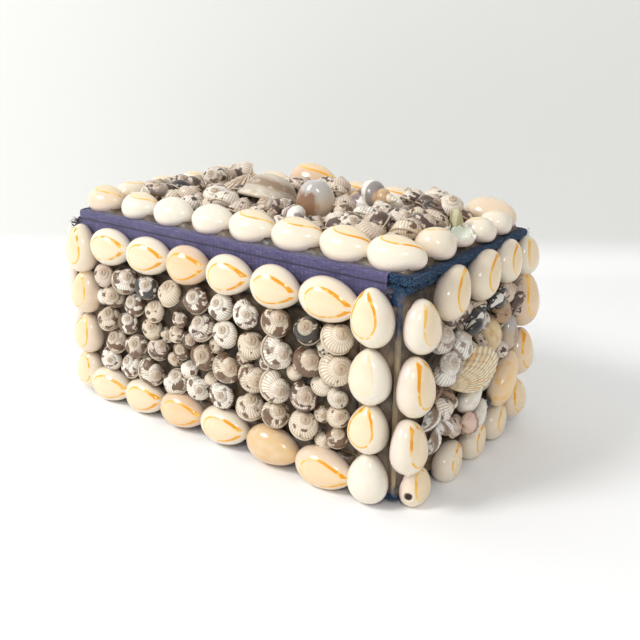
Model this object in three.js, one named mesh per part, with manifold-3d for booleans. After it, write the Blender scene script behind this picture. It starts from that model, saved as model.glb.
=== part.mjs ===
// Shell box: a small cloth-covered casket with a cloth-hinged lid, crusted with sea shells.
// Millimetres, +Z up. The origin is the middle of the underside, the hinge runs along the -Y side.
import * as THREE from 'three';
import { mergeVertices } from 'three/addons/utils/BufferGeometryUtils.js';
import Module from 'manifold-3d';

const wasm = await Module();
wasm.setup();

// Carcass: a plain board tray, the cloth inside it and under it, and a flat board lid
const boxLength = 132;
const boxWidth = 70;
const rimHeight = 62;
const wallThickness = 2.4;
const floorThickness = 2.4;
const clothThickness = 0.4;
const rimTurnover = 1.9;
const baseTurnover = 1.7;
const lidBoardThickness = 1.6;
const lidShift = 1.7;
const seamGap = 0.4;
const pieceGap = 0.3;

// Ribbon hinge along the seam of the -Y side
const ribbonThickness = 0.4;
const ribbonDrop = 5;
const ribbonFarInset = 3;
const ribbonNearInset = 4.6;
const ribbonCrease = 0.1;

// Glue bed, and how deep a shell sits in it
const bedThickness = 1.2;
const shellSink = 0.5;
const shellClearance = 0.35;

// Ring cowries in the borders: oval domes glued mouth down, with corners cut to few faces
const cowrieLength = 17;
const cowrieLongest = 21;
const cowrieWidth = 11.3;
const cowrieHeight = 7.6;
const cowrieStoutness = 0.8;
const cowrieTilt = 7;
const cowrieTurn = 5.6;
const cowrieUnevenness = 0.05;
const cowrieFit = 0.98;
const cowrieTaper = 0.12;
const cowrieSides = 7;
const cowrieLevels = [
  { height: 0, scale: 0.84 },
  { height: 0.38, scale: 1 },
  { height: 0.82, scale: 0.62 },
];
const bedReach = 0.9;

// Where the borders lie: insets from the edges, overhangs, and how far a wall's shells rise past its rim
const edgeMargin = 0.9;
const endOverhang = 2.4;
const footOverhang = 1.5;
const sideRise = 0.3;
const endRise = 1;
const columnLean = 2.2;
const lidEdgeMargin = 0.3;
const lidRightOverhang = 2.6;
const lidFrontOverhang = 0.5;
const lidEndCowrieLength = 11.4;
const lidBackWidth = 12;
const lidBackHeight = 9.8;

// Lengths of the cowries along each border, one against another, from its lower or left end
const sideBorders = {
  left_column: [14, 14.5, 16, 15.5],
  right_column: [14.8, 15, 15.8, 16.8],
  bottom_row: [17.2, 17.6, 18, 18.6, 19.2, 18.8],
  top_row: [17.6, 17.6, 17.2, 17.2, 17.4, 18.6],
};
const endBorders = {
  left_column: [12.5, 15, 16.5, 15],
  right_column: [14, 17, 18.5, 12.5],
  bottom_row: [14.6, 14.6, 14.4],
  top_row: [17, 17, 15],
};
const lidBorders = {
  front_row: [15, 15.4, 15.8, 16.1, 16.4, 16.7, 17, 17.3],
  back_row: [12.5, 11.5, 13, 20, 14, 14.5, 15.5, 16.5],
  left_row: [14.8, 14.6, 14.4],
  right_row: [12.2, 11.4, 10.8, 10.4],
};
const brokenPlace = 1;

// Small turban shells in the fields, spire outward
const turbanDiameter = 8;
const turbanHeight = 6.4;
const turbanSides = 6;
const turbanLean = 0.16;
const turbanLevels = [
  { height: 0, scale: 0.86 },
  { height: 0.46, scale: 1 },
];
const turbanSpacing = 0.2;
const turbanUnevenness = 0.05;
const turbanJitter = 0.45;
const turbanRowSpacing = 0.9;
const lidTurbanDiameter = 8.6;
const lidTurbanPitch = 9.6;
const rightTurbanDiameter = 6.6;
const rightTurbanPitch = 8.1;
const leftTurbanPitch = 9.8;

// The broken cowrie in the lid's right border, and the bead hole in the cowrie at a lower corner
const brokenWall = 0.9;
const brokenRim = 0.55;
const brokenSlant = 14;
const beadHoleRadius = 0.7;
const beadHoleDepth = 2.6;
const beadHoleLevel = 0.5;
const beadHoleAlong = -0.2;

// Large shells on the lid
const limpetDiameter = 19;
const limpetWidth = 16.3;
const limpetHeight = 9.6;
const limpetRibs = 9;
const limpetRibDepth = 0.09;
const limpetTip = [3, 1.1];
const bowlLength = 20;
const bowlWidth = 16;
const bowlHeight = 10;
const bowlWall = 1.1;
const bowlTilt = 16;
const standingHeight = 13.4;
const standingWidth = 12;
const standingDepth = 6.2;
const bandedWhelkLength = 19;
const bandedWhelkRadius = 5.4;
const stripedWhelkLength = 13;
const stripedWhelkRadius = 3.6;

// Large shells in the mosaic of the right end
const fanLength = 18;
const fanWidth = 14;
const fanHeight = 5.4;
const fanHinge = 3.4;
const fanRibs = 7;
const fanRibDepth = 0.07;
const fanSpread = 105;
const clamLength = 14;
const clamWidth = 10.4;
const clamHeight = 5.6;
const peachLength = 16;
const peachWidth = 10;
const peachHeight = 6.4;
const coneLength = 11.5;
const coneRadius = 4.2;
const endWhelkLength = 12.5;
const endWhelkRadius = 3.9;

// Levels of a shell as shares of its height and outline, and a whelk's steps along its length
const bowlSides = 10;
const bowlLevels = [
  { height: 0, scale: 0.96 },
  { height: 0.3, scale: 1 },
  { height: 0.78, scale: 0.66 },
];
const limpetLevels = [
  { height: 0, scale: 1 },
  { height: 0.55, scale: 0.72 },
];
const fanLevels = [
  { height: 0, scale: 1 },
  { height: 0.4, scale: 0.93 },
  { height: 0.9, scale: 0.55 },
];
const whelkSides = 8;
const whelkProfile = [
  { along: 0, radius: 0.3 },
  { along: 0.16, radius: 0.72 },
  { along: 0.36, radius: 1 },
  { along: 0.52, radius: 0.86 },
  { along: 0.58, radius: 0.66 },
  { along: 0.72, radius: 0.58 },
  { along: 0.76, radius: 0.4 },
  { along: 0.88, radius: 0.32 },
];

// Colours of the cloth, the glue-soaked board and the shells
const colours = {
  board: 0xa8977d,
  blueCloth: 0x1e3454,
  ribbon: 0x5b4f8c,
  cowrie: 0xf1e6d2,
  turban: 0xb9a79b,
  mosaic: 0xc9b7a3,
  brown: 0xa98a6c,
  grey: 0x9d938b,
  pale: 0xe4e3d6,
};

const degree = Math.PI / 180;
const lerp = (a, b, t) => a + (b - a) * t;

// Repeatable scatter between -1 and 1 from a whole number
function scatter(seed) {
  let state = (Math.imul(seed + 17, 747796405) + 2891336453) >>> 0;
  state = Math.imul((state >>> ((state >>> 28) + 4)) ^ state, 277803737) >>> 0;
  state = ((state >>> 22) ^ state) >>> 0;
  return state / 2147483648 - 1;
}

function meshMaterial(colour, roughness) {
  return new THREE.MeshStandardMaterial({ color: colour, roughness, metalness: 0 });
}

// A geometry as a solid, and a solid as a geometry
function toSolid(geometry) {
  const bare = geometry.clone();
  bare.deleteAttribute('normal');
  bare.deleteAttribute('uv');
  const merged = mergeVertices(bare, 1e-5);
  const vertProperties = new Float32Array(merged.attributes.position.array);
  const triVerts = new Uint32Array(merged.index.array);
  return new wasm.Manifold(new wasm.Mesh({ numProp: 3, vertProperties, triVerts }));
}

function toGeometry(solid) {
  const mesh = solid.getMesh();
  const geometry = new THREE.BufferGeometry();
  geometry.setAttribute('position', new THREE.BufferAttribute(new Float32Array(mesh.vertProperties), 3));
  geometry.setIndex(new THREE.BufferAttribute(new Uint32Array(mesh.triVerts), 1));
  geometry.computeVertexNormals();
  return geometry;
}

// A box between two corners
function slab(low, high) {
  const size = high.map((value, axis) => value - low[axis]);
  const middle = high.map((value, axis) => (value + low[axis]) / 2);
  return new THREE.BoxGeometry(...size).translate(...middle);
}

// A closed body through rings of equal count, flat on its first ring and drawn to a tip
function ringStack(rings, tip) {
  const count = rings[0].length;
  const points = [...rings.flat(), tip];
  const last = (rings.length - 1) * count;
  const index = [];
  for (let k = 1; k < count - 1; k++) index.push(0, k + 1, k);
  for (let level = 0; level < rings.length - 1; level++) {
    for (let k = 0; k < count; k++) {
      const a = level * count + k;
      const b = level * count + ((k + 1) % count);
      index.push(a, b, b + count, a, b + count, a + count);
    }
  }
  for (let k = 0; k < count; k++) index.push(last + k, last + ((k + 1) % count), last + count);
  const geometry = new THREE.BufferGeometry();
  geometry.setAttribute('position', new THREE.Float32BufferAttribute(points.flat(), 3));
  geometry.setIndex(index);
  return geometry;
}

// Points of an outline at even angles all round
function around(outline, sides) {
  const points = [];
  for (let k = 0; k < sides; k++) points.push(outline((k / sides) * 2 * Math.PI));
  return points;
}

function oval(length, width) {
  return (angle) => [(Math.cos(angle) * length) / 2, (Math.sin(angle) * width) / 2];
}

// A dome over an outline: each level is the outline scaled at a share of the height
function dome(points, levels, height, tip = [0, 0]) {
  const rings = levels.map((level) => {
    return points.map(([x, y]) => [x * level.scale, y * level.scale, level.height * height]);
  });
  return ringStack(rings, [...tip, height]);
}

function cowrie(length, width, height) {
  const outline = (angle) => {
    const along = Math.cos(angle);
    return [(along * length) / 2, ((Math.sin(angle) * width) / 2) * (1 - cowrieTaper * along)];
  };
  return dome(around(outline, cowrieSides), cowrieLevels, height);
}

// A polygon's corners stand out by this much to keep the round shell's size
const turbanCorner = 1 / Math.sqrt(Math.cos(Math.PI / turbanSides));

function turban(diameter, leanAngle) {
  const across = diameter * turbanCorner;
  const lean = turbanLean * diameter;
  const tip = [lean * Math.cos(leanAngle), lean * Math.sin(leanAngle)];
  const points = around(oval(across, across), turbanSides);
  return dome(points, turbanLevels, (turbanHeight * diameter) / turbanDiameter, tip);
}

// A ribbed limpet: a low cone with its ribs as every other corner of the outline
function limpet() {
  const outline = (angle) => {
    const [x, y] = oval(limpetDiameter, limpetWidth)(angle);
    const rib = 1 + limpetRibDepth * Math.cos(angle * limpetRibs);
    return [x * rib, y * rib];
  };
  return dome(around(outline, limpetRibs * 2), limpetLevels, limpetHeight, limpetTip);
}

// A ribbed fan shell: a rounded front, and straight sides that run to the hinge at the -X end
function fan() {
  const beak = -fanLength / 2;
  const points = [[beak, -fanHinge / 2]];
  for (let k = 0; k <= fanRibs * 2; k++) {
    const angle = lerp(-fanSpread, fanSpread, k / (fanRibs * 2)) * degree;
    const reach = k % 2 === 0 ? 1 - fanRibDepth : 1;
    points.push([(fanLength / 2) * Math.cos(angle) * reach, (fanWidth / 2) * Math.sin(angle) * reach]);
  }
  points.push([beak, fanHinge / 2]);
  return dome(points, fanLevels, fanHeight);
}

// A whelk lying on its side: stepped whorls along +X, the spire at the +X end
function whelk(length, radius) {
  const rings = whelkProfile.map((step) => {
    const points = around(oval(step.radius * radius * 2, step.radius * radius * 2), whelkSides);
    return points.map(([y, z]) => [(step.along - 0.5) * length, y, z]);
  });
  return ringStack(rings, [length / 2, 0, 0]);
}

// A bowl-like shell, mouth down
function bowl() {
  const outer = dome(around(oval(bowlLength, bowlWidth), bowlSides), bowlLevels, bowlHeight);
  const hollow = oval(bowlLength - 2 * bowlWall, bowlWidth - 2 * bowlWall);
  const inner = dome(around(hollow, bowlSides), bowlLevels, bowlHeight).translate(0, 0, -bowlWall);
  return toGeometry(toSolid(outer).subtract(toSolid(inner)));
}

// An oval dish standing on its edge, its back to +Y
function standingShell() {
  const dish = dome(around(oval(standingWidth, standingHeight), bowlSides), bowlLevels, standingDepth);
  return dish.rotateX(90 * degree).translate(0, standingDepth / 2, standingHeight / 2);
}

// Where a shell goes on a panel: along u and v, turned about the outward normal, then tipped
function placed(geometry, { u, v, lift = 0, turn = 0, tip = 0, lean = 0 }) {
  const spin = new THREE.Matrix4().makeRotationZ(turn * degree);
  const pitch = new THREE.Matrix4().makeRotationY(tip * degree);
  const roll = new THREE.Matrix4().makeRotationX(lean * degree);
  const shift = new THREE.Matrix4().makeTranslation(u, v, lift);
  return geometry.applyMatrix4(shift.multiply(spin).multiply(pitch).multiply(roll));
}

// Glue between the wall and the shells' undersides, in panel coordinates
const bedTop = pieceGap + bedThickness;
const seat = bedTop - shellSink;
const shellBase = bedTop + pieceGap;

function bed(low, high) {
  return toSolid(slab([low[0], low[1], pieceGap], [high[0], high[1], bedTop]));
}

function fuse(base, shells) {
  let solid = base;
  for (const shell of shells) solid = solid.add(toSolid(shell));
  return solid;
}

// How far a tilted cowrie reaches across its row, at its widest and at its bed
const tiltReach = Math.hypot(
  (cowrieLength / 2) * Math.sin(cowrieTilt * degree),
  (cowrieWidth / 2) * (1 + cowrieTaper / 2) * Math.cos(cowrieTilt * degree),
);
const footReach = tiltReach * bedReach;

// A list of lengths read at any share of the way along it
function sampled(list, share) {
  const at = share * (list.length - 1);
  const before = Math.min(Math.floor(at), list.length - 2);
  return lerp(list[before], list[before + 1], at - before);
}

// Places of a row of cowries end to end along u, or along v when upright
function cowriePlaces({ from, to, across, lengths, upright, seed, unit, wide, tall, lean }) {
  const span = to - from;
  const count = Math.max(2, Math.round(span / unit));
  const weights = [];
  for (let k = 0; k < count; k++) {
    weights.push(sampled(lengths, k / (count - 1)) * (1 + cowrieUnevenness * scatter(seed + k)));
  }
  const total = weights.reduce((sum, weight) => sum + weight, 0);
  let start = from;
  return weights.map((weight, k) => {
    const share = (span * weight) / total;
    const middle = start + share / 2;
    start += share;
    const length = Math.min(share * cowrieFit, cowrieLongest);
    const width = Math.min(wide, length * cowrieStoutness);
    const height = (tall * (width + length)) / (wide + cowrieLength);
    const turn = (upright ? 90 : 0) + cowrieTurn * scatter(seed + 31 * k + 7);
    const aside = across - lean * Math.sin(((middle - from) / span) * Math.PI);
    const [u, v] = upright ? [aside, middle] : [middle, aside];
    return { u, v, lift: seat, turn, length, width, height };
  });
}

function beadHole(place) {
  const hole = new THREE.CylinderGeometry(beadHoleRadius, beadHoleRadius, beadHoleDepth * 2, turbanSides);
  const middle = {
    u: place.u - place.width / 2,
    v: place.v + place.length * beadHoleAlong,
    lift: place.lift + place.height * beadHoleLevel,
  };
  return hole.rotateZ(90 * degree).translate(middle.u, middle.v, middle.lift);
}

// A row of cowries on its bed, which stays between the low and high corner of what carries it
function cowrieRow({ low, high, skip = -1, drill = false, ...row }) {
  const { from, to, across, upright, wide } = row;
  const places = cowriePlaces(row);
  const kept = places.filter((place, k) => k !== skip);
  const reach = footReach * (wide / cowrieWidth);
  const start = upright ? [across - reach, from] : [from, across - reach];
  const end = upright ? [across + reach, to] : [to, across + reach];
  const bedLow = start.map((value, axis) => Math.max(value, low[axis]));
  const bedHigh = end.map((value, axis) => Math.min(value, high[axis]));
  const shells = kept.map((place) => placed(cowrie(place.length, place.width, place.height), place));
  let solid = fuse(bed(bedLow, bedHigh), shells);
  if (drill) solid = solid.subtract(toSolid(beadHole(places[0])));
  return { geometry: toGeometry(solid), places };
}

const plainRow = { upright: false, unit: cowrieLength, wide: cowrieWidth, tall: cowrieHeight, lean: 0 };

// Field layout of a long side: strings of turbans, ends as shares of the field from its lower left corner
const longFieldStrings = [
  { from: [0, 1], to: [1, 1], count: 10 },
  { from: [0.04, 0.75], to: [1, 0.68], count: 10 },
  { from: [0, 0.49], to: [0.34, 0.54], count: 4 },
  { from: [0.04, 0.23], to: [0.47, 0.4], count: 5 },
  { from: [0.58, 0.37], to: [0.88, 0.32], count: 4 },
  { from: [0, 0], to: [0.88, 0.04], count: 9 },
  { from: [1, 0.42], to: [1, 0], count: 3 },
];

const seedStep = { row: 100, line: 40, across: 500, up: 900, field: 1000, lean: 1300 };

function turbanAt(field, share, diameter, id) {
  const size = diameter * (1 + turbanUnevenness * (scatter(id) - 1));
  const inset = diameter / 2;
  const u = lerp(field.low[0] + inset, field.high[0] - inset, share[0]);
  const v = lerp(field.low[1] + inset, field.high[1] - inset, share[1]);
  return {
    u: u + turbanJitter * scatter(id + seedStep.across),
    v: v + turbanJitter * scatter(id + seedStep.up),
    size,
    id,
  };
}

function stringPlaces(strings, field, seed) {
  const places = [];
  strings.forEach((string, line) => {
    for (let k = 0; k < string.count; k++) {
      const t = k / (string.count - 1);
      const share = [lerp(string.from[0], string.to[0], t), lerp(string.from[1], string.to[1], t)];
      places.push(turbanAt(field, share, turbanDiameter, seed + line * seedStep.line + k));
    }
  });
  return places;
}

// Whether a turban stays clear of a larger shell, taken as the oval that it covers
function clearOf(spot, place) {
  const reach = (place.size / 2) * turbanCorner + shellClearance + turbanJitter;
  const turned = spot.turn * degree;
  const du = place.u - spot.u;
  const dv = place.v - spot.v;
  const along = (du * Math.cos(turned) + dv * Math.sin(turned)) / (spot.halfLength + reach);
  const across = (dv * Math.cos(turned) - du * Math.sin(turned)) / (spot.halfWidth + reach);
  return along * along + across * across > 1;
}

// Staggered layout for a lid or an end, leaving out what a larger shell covers
function gridPlaces(field, { pitch, diameter, seed, taken }) {
  const width = field.high[0] - field.low[0] - diameter;
  const height = field.high[1] - field.low[1] - diameter;
  const rows = Math.max(1, Math.round(height / (pitch * turbanRowSpacing)));
  const columns = Math.max(1, Math.round(width / pitch));
  const places = [];
  for (let row = 0; row <= rows; row++) {
    const stagger = row % 2;
    for (let column = 0; column <= columns - stagger; column++) {
      const share = [(column + stagger / 2) / columns, row / rows];
      const place = turbanAt(field, share, diameter, seed + row * seedStep.line + column);
      if (taken.every((spot) => clearOf(spot, place))) places.push(place);
    }
  }
  return places;
}

// Keeps each turban wholly inside its field and clear of its nearest neighbour
function settled(field, places) {
  const held = places.map((place) => {
    const reach = (place.size / 2) * turbanCorner * (1 + turbanLean / 2);
    const u = Math.min(Math.max(place.u, field.low[0] + reach), field.high[0] - reach);
    const v = Math.min(Math.max(place.v, field.low[1] + reach), field.high[1] - reach);
    return { ...place, u, v };
  });
  return held.map((place) => {
    const others = held.filter((other) => other !== place);
    const nearest = Math.min(...others.map((other) => Math.hypot(other.u - place.u, other.v - place.v)));
    return { ...place, size: Math.min(place.size, (nearest - turbanSpacing) / turbanCorner) };
  });
}

// Turbans lean up and to the right by about 50 degrees, more or less
const leanMiddle = 50;
const leanScatter = 40;

function turbanField(field, places) {
  const shells = settled(field, places).map(({ u, v, size, id }) => {
    const leanAngle = (leanMiddle + leanScatter * scatter(id + seedStep.lean)) * degree;
    return placed(turban(size, leanAngle), { u, v, lift: seat });
  });
  const bedInset = tiltReach - footReach;
  const low = field.low.map((value) => value - bedInset);
  const high = field.high.map((value) => value + bedInset);
  return toGeometry(fuse(bed(low, high), shells));
}

// The object, one group for each panel
const model = new THREE.Group();

function panel(origin, uAxis, vAxis) {
  const group = new THREE.Group();
  const u = new THREE.Vector3(...uAxis);
  const v = new THREE.Vector3(...vAxis);
  const basis = new THREE.Matrix4().makeBasis(u, v, new THREE.Vector3().crossVectors(u, v));
  group.quaternion.setFromRotationMatrix(basis);
  group.position.set(...origin);
  model.add(group);
  return group;
}

function addMesh(group, name, geometry, colour, roughness) {
  const mesh = new THREE.Mesh(geometry, meshMaterial(colour, roughness));
  mesh.name = name;
  group.add(mesh);
}

const halfLength = boxLength / 2;
const halfWidth = boxWidth / 2;
const skin = pieceGap + clothThickness;
const trayBottom = skin;
const trayTop = rimHeight - skin;
const lidUnder = rimHeight + seamGap;
const boardUnder = lidUnder + skin;
const lidTop = boardUnder + lidBoardThickness;

function addTray() {
  const outer = slab([-halfLength, -halfWidth, trayBottom], [halfLength, halfWidth, trayTop]);
  const inX = halfLength - wallThickness;
  const inY = halfWidth - wallThickness;
  const inner = slab([-inX, -inY, trayBottom + floorThickness], [inX, inY, rimHeight]);
  addMesh(model, 'box_tray', toGeometry(toSolid(outer).subtract(toSolid(inner))), colours.board, 0.9);
}

// Cloth inside the tray, over its rim and a little way down outside; the hinge side has no outer lip
function addLining() {
  const outX = halfLength + skin;
  const outY = halfWidth + skin;
  const below = rimHeight - rimTurnover;
  const rim = toSolid(slab([-outX, -halfWidth, below], [outX, outY, rimHeight]));
  const wallLow = [-halfLength - pieceGap, -outY, below - rimTurnover];
  const wallHigh = [halfLength + pieceGap, halfWidth + pieceGap, rimHeight - clothThickness];
  const wall = toSolid(slab(wallLow, wallHigh));
  const inX = halfLength - wallThickness - pieceGap;
  const inY = halfWidth - wallThickness - pieceGap;
  const floor = trayBottom + floorThickness + pieceGap;
  const inside = toSolid(slab([-inX, -inY, floor], [inX, inY, rimHeight]));
  const clearX = inX - clothThickness;
  const clearY = inY - clothThickness;
  const hollow = slab([-clearX, -clearY, floor + clothThickness], [clearX, clearY, lidTop]);
  const solid = rim.subtract(wall).add(inside).subtract(toSolid(hollow));
  addMesh(model, 'box_lining', toGeometry(solid), colours.blueCloth, 0.95);
}

// Cloth under the box with its edge turned up round the foot
function addBaseCloth() {
  const outX = halfLength + skin;
  const outY = halfWidth + skin;
  const outer = toSolid(slab([-outX, -outY, 0], [outX, outY, baseTurnover]));
  const inX = outX - clothThickness;
  const inY = outY - clothThickness;
  const inner = toSolid(slab([-inX, -inY, clothThickness], [inX, inY, rimHeight]));
  addMesh(model, 'base_cloth', toGeometry(outer.subtract(inner)), colours.blueCloth, 0.95);
}

// Ribbon glued to the lid's edge above the seam and to the wall below it
function addRibbon() {
  const low = -halfLength + ribbonFarInset;
  const high = halfLength - ribbonNearInset;
  const inner = -halfWidth - pieceGap;
  const outer = inner - ribbonThickness;
  const seam = rimHeight + seamGap / 2;
  const upper = slab([low, outer, seam + ribbonCrease], [high, inner, lidTop]);
  const lower = slab([low, outer, rimHeight - ribbonDrop], [high, inner, seam - ribbonCrease]);
  addMesh(model, 'ribbon_upper', upper, colours.ribbon, 0.8);
  addMesh(model, 'ribbon_lower', lower, colours.ribbon, 0.8);
}

// The lid's board in its cloth, which is turned up round the board's edges and open on top
function addLidBoard() {
  const left = -halfLength - skin + lidShift;
  const right = halfLength + skin + lidShift;
  const back = halfWidth + skin;
  const outer = toSolid(slab([left, -halfWidth, lidUnder], [right, back, lidTop]));
  const low = [left + clothThickness, -halfWidth + clothThickness, lidUnder + clothThickness];
  const high = [right - clothThickness, back - clothThickness, lidTop + lidBoardThickness];
  const cloth = outer.subtract(toSolid(slab(low, high)));
  addMesh(model, 'lid_cloth', toGeometry(cloth), colours.blueCloth, 0.95);
  const boardLow = [low[0] + pieceGap, low[1] + pieceGap, boardUnder];
  const boardHigh = [high[0] - pieceGap, high[1] - pieceGap, lidTop];
  addMesh(model, 'lid_board', slab(boardLow, boardHigh), colours.board, 0.9);
}

// The four cowrie borders of a wall, and the field that they leave
function addWallBorders(group, name, { width, overhang, rise, drop, lengths, seed, lean = 0, drilled = '' }) {
  const columnAt = width / 2 + overhang - tiltReach;
  const rowEnd = columnAt - tiltReach - shellClearance;
  const bottomAt = tiltReach - footOverhang;
  const topAt = rimHeight + rise - shellClearance - tiltReach;
  const column = { from: -footOverhang, to: rimHeight - shellClearance, upright: true };
  const row = { from: -rowEnd, to: rowEnd };
  const low = [-width / 2, baseTurnover + pieceGap];
  const high = [width / 2, rimHeight - drop - pieceGap];
  const borders = {
    left_column: { ...column, across: -columnAt, lean },
    right_column: { ...column, across: columnAt },
    bottom_row: { ...row, across: bottomAt },
    top_row: { ...row, across: topAt },
  };
  Object.entries(borders).forEach(([key, border], k) => {
    const drill = drilled === key;
    const shells = { ...plainRow, ...border, lengths: lengths[key], seed: seed + seedStep.row * k };
    const { geometry } = cowrieRow({ ...shells, low, high, drill });
    addMesh(group, `${name}_${key}`, geometry, colours.cowrie, 0.25);
  });
  const reach = tiltReach + shellClearance;
  return { low: [-rowEnd, bottomAt + reach], high: [rowEnd, topAt - reach] };
}

function addLongSide(name, origin, uAxis, drop, seed) {
  const group = panel(origin, uAxis, [0, 0, 1]);
  const walls = { width: boxLength, overhang: -edgeMargin, rise: sideRise, drop, lengths: sideBorders, seed };
  const field = addWallBorders(group, name, walls);
  const geometry = turbanField(field, stringPlaces(longFieldStrings, field, seed + seedStep.field));
  addMesh(group, `${name}_turban_field`, geometry, colours.turban, 0.4);
}

// A spot on a field, from its share of the field's length and width
function spotOn(field, share, size, turn) {
  return {
    u: lerp(field.low[0], field.high[0], share[0]),
    v: lerp(field.low[1], field.high[1], share[1]),
    halfLength: size[0] / 2,
    halfWidth: size[1] / 2,
    turn,
  };
}

const endWalls = {
  width: boxWidth,
  overhang: endOverhang,
  rise: endRise,
  drop: rimTurnover,
  lengths: endBorders,
};

// The right end's mosaic: five larger shells among turbans
function addRightEnd() {
  const group = panel([halfLength, 0, 0], [0, 1, 0], [0, 0, 1]);
  const walls = { ...endWalls, lean: columnLean, seed: 4011, drilled: 'left_column' };
  const field = addWallBorders(group, 'right', walls);
  const spots = {
    fan_shell: spotOn(field, [0.38, 0.5], [fanLength, fanWidth], 16),
    clam_shell: spotOn(field, [0.7, 0.62], [clamLength, clamWidth], -58),
    peach_shell: spotOn(field, [0.85, 0.2], [peachLength, peachWidth], 64),
    cone_shell: spotOn(field, [0.42, 0.88], [coneLength, coneRadius * 2], -12),
    whelk: spotOn(field, [0.42, 0.12], [endWhelkLength, endWhelkRadius * 2], -14),
  };
  const bodies = {
    fan_shell: { shape: fan(), lift: 0 },
    clam_shell: { shape: cowrie(clamLength, clamWidth, clamHeight), lift: 0 },
    peach_shell: { shape: cowrie(peachLength, peachWidth, peachHeight), lift: 0 },
    cone_shell: { shape: whelk(coneLength, coneRadius), lift: coneRadius },
    whelk: { shape: whelk(endWhelkLength, endWhelkRadius), lift: endWhelkRadius },
  };
  for (const [key, spot] of Object.entries(spots)) {
    const { shape, lift } = bodies[key];
    const geometry = placed(shape, { ...spot, lift: shellBase + lift });
    addMesh(group, `right_${key}`, geometry, colours.mosaic, 0.45);
  }
  const fill = { pitch: rightTurbanPitch, diameter: rightTurbanDiameter, seed: 5011 };
  const places = gridPlaces(field, { ...fill, taken: Object.values(spots) });
  addMesh(group, 'right_mosaic_bed', turbanField(field, places), colours.turban, 0.45);
}

// The left end is plainer: turbans round one fan shell
function addLeftEnd() {
  const group = panel([-halfLength, 0, 0], [0, -1, 0], [0, 0, 1]);
  const field = addWallBorders(group, 'left', { ...endWalls, seed: 6011 });
  const spot = spotOn(field, [0.5, 0.5], [fanLength, fanWidth], 90);
  const geometry = placed(fan(), { ...spot, lift: shellBase });
  addMesh(group, 'left_fan_shell', geometry, colours.mosaic, 0.45);
  const fill = { pitch: leftTurbanPitch, diameter: turbanDiameter, seed: 7011, taken: [spot] };
  addMesh(group, 'left_mosaic_bed', turbanField(field, gridPlaces(field, fill)), colours.turban, 0.45);
}

// What is left of a cowrie whose back has broken away
function brokenCowrie({ length, width, height }) {
  const outer = toSolid(cowrie(length, width, height));
  const inner = cowrie(length - 2 * brokenWall, width - 2 * brokenWall, height);
  const hollow = toSolid(inner.translate(0, 0, brokenWall));
  const away = slab([-length, -width, 0], [length, width, height]);
  away.rotateX(brokenSlant * degree).translate(0, 0, height * brokenRim);
  return toGeometry(outer.subtract(hollow).subtract(toSolid(away)));
}

// The borders of the lid: the right one hangs over a little and holds the broken cowrie
function addLidBorders(group) {
  const endAt = halfLength - lidEdgeMargin - tiltReach;
  const sideAt = halfWidth - lidEdgeMargin - tiltReach;
  const length = halfLength - lidEdgeMargin;
  const inner = sideAt - tiltReach - shellClearance;
  const lying = { from: -length, to: length };
  const standing = { from: -inner, to: inner, upright: true };
  const borders = {
    front_row: { ...lying, across: -sideAt - lidFrontOverhang },
    back_row: { ...lying, across: sideAt, wide: lidBackWidth, tall: lidBackHeight },
    left_row: { ...standing, across: -endAt },
    right_row: { ...standing, across: endAt + lidRightOverhang, unit: lidEndCowrieLength },
  };
  const low = [-halfLength, -halfWidth];
  const high = [halfLength, halfWidth];
  let broken;
  Object.entries(borders).forEach(([key, border], k) => {
    const shells = { ...plainRow, ...border, lengths: lidBorders[key], seed: 8011 + seedStep.row * k };
    const skip = key === 'right_row' ? brokenPlace : -1;
    const { geometry, places } = cowrieRow({ ...shells, low, high, skip });
    addMesh(group, `lid_${key}`, geometry, colours.cowrie, 0.25);
    broken = places[brokenPlace];
  });
  const shard = placed(brokenCowrie(broken), { ...broken, lift: shellBase });
  addMesh(group, 'lid_broken_cowrie', shard, colours.pale, 0.3);
  const reach = endAt - tiltReach - shellClearance;
  return { low: [-reach, -inner], high: [reach + lidRightOverhang, inner] };
}

// The lid's shells: a limpet, a raised bowl, a standing dish and two whelks among turbans
function addLidShells() {
  const group = panel([lidShift, 0, lidTop], [1, 0, 0], [0, 1, 0]);
  const field = addLidBorders(group);
  const spots = {
    limpet: spotOn(field, [0.21, 0.58], [limpetDiameter, limpetWidth], 8),
    open_shell: spotOn(field, [0.42, 0.44], [bowlLength, bowlWidth], -8),
    standing_shell: spotOn(field, [0.61, 0.4], [standingWidth, standingDepth], 22),
    banded_whelk: spotOn(field, [0.7, 0.74], [bandedWhelkLength, bandedWhelkRadius * 2], -14),
    striped_whelk: spotOn(field, [0.6, 0.14], [stripedWhelkLength, stripedWhelkRadius * 2], -22),
  };
  const bowlLift = (Math.sin(bowlTilt * degree) * bowlWidth) / 2;
  const banded = whelk(bandedWhelkLength, bandedWhelkRadius);
  const striped = whelk(stripedWhelkLength, stripedWhelkRadius);
  const bodies = {
    limpet: { shape: limpet(), lift: 0, colour: colours.brown },
    open_shell: { shape: bowl().rotateX(-bowlTilt * degree), lift: bowlLift, colour: colours.brown },
    standing_shell: { shape: standingShell(), lift: 0, colour: colours.grey },
    banded_whelk: { shape: banded, lift: bandedWhelkRadius, colour: colours.grey },
    striped_whelk: { shape: striped, lift: stripedWhelkRadius, colour: colours.grey },
  };
  for (const [key, spot] of Object.entries(spots)) {
    const { shape, lift, colour } = bodies[key];
    const geometry = placed(shape, { ...spot, lift: shellBase + lift });
    addMesh(group, `lid_${key}`, geometry, colour, 0.45);
  }
  const fill = { pitch: lidTurbanPitch, diameter: lidTurbanDiameter, seed: 9011 };
  const places = gridPlaces(field, { ...fill, taken: Object.values(spots) });
  addMesh(group, 'lid_turban_field', turbanField(field, places), colours.turban, 0.4);
}

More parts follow.
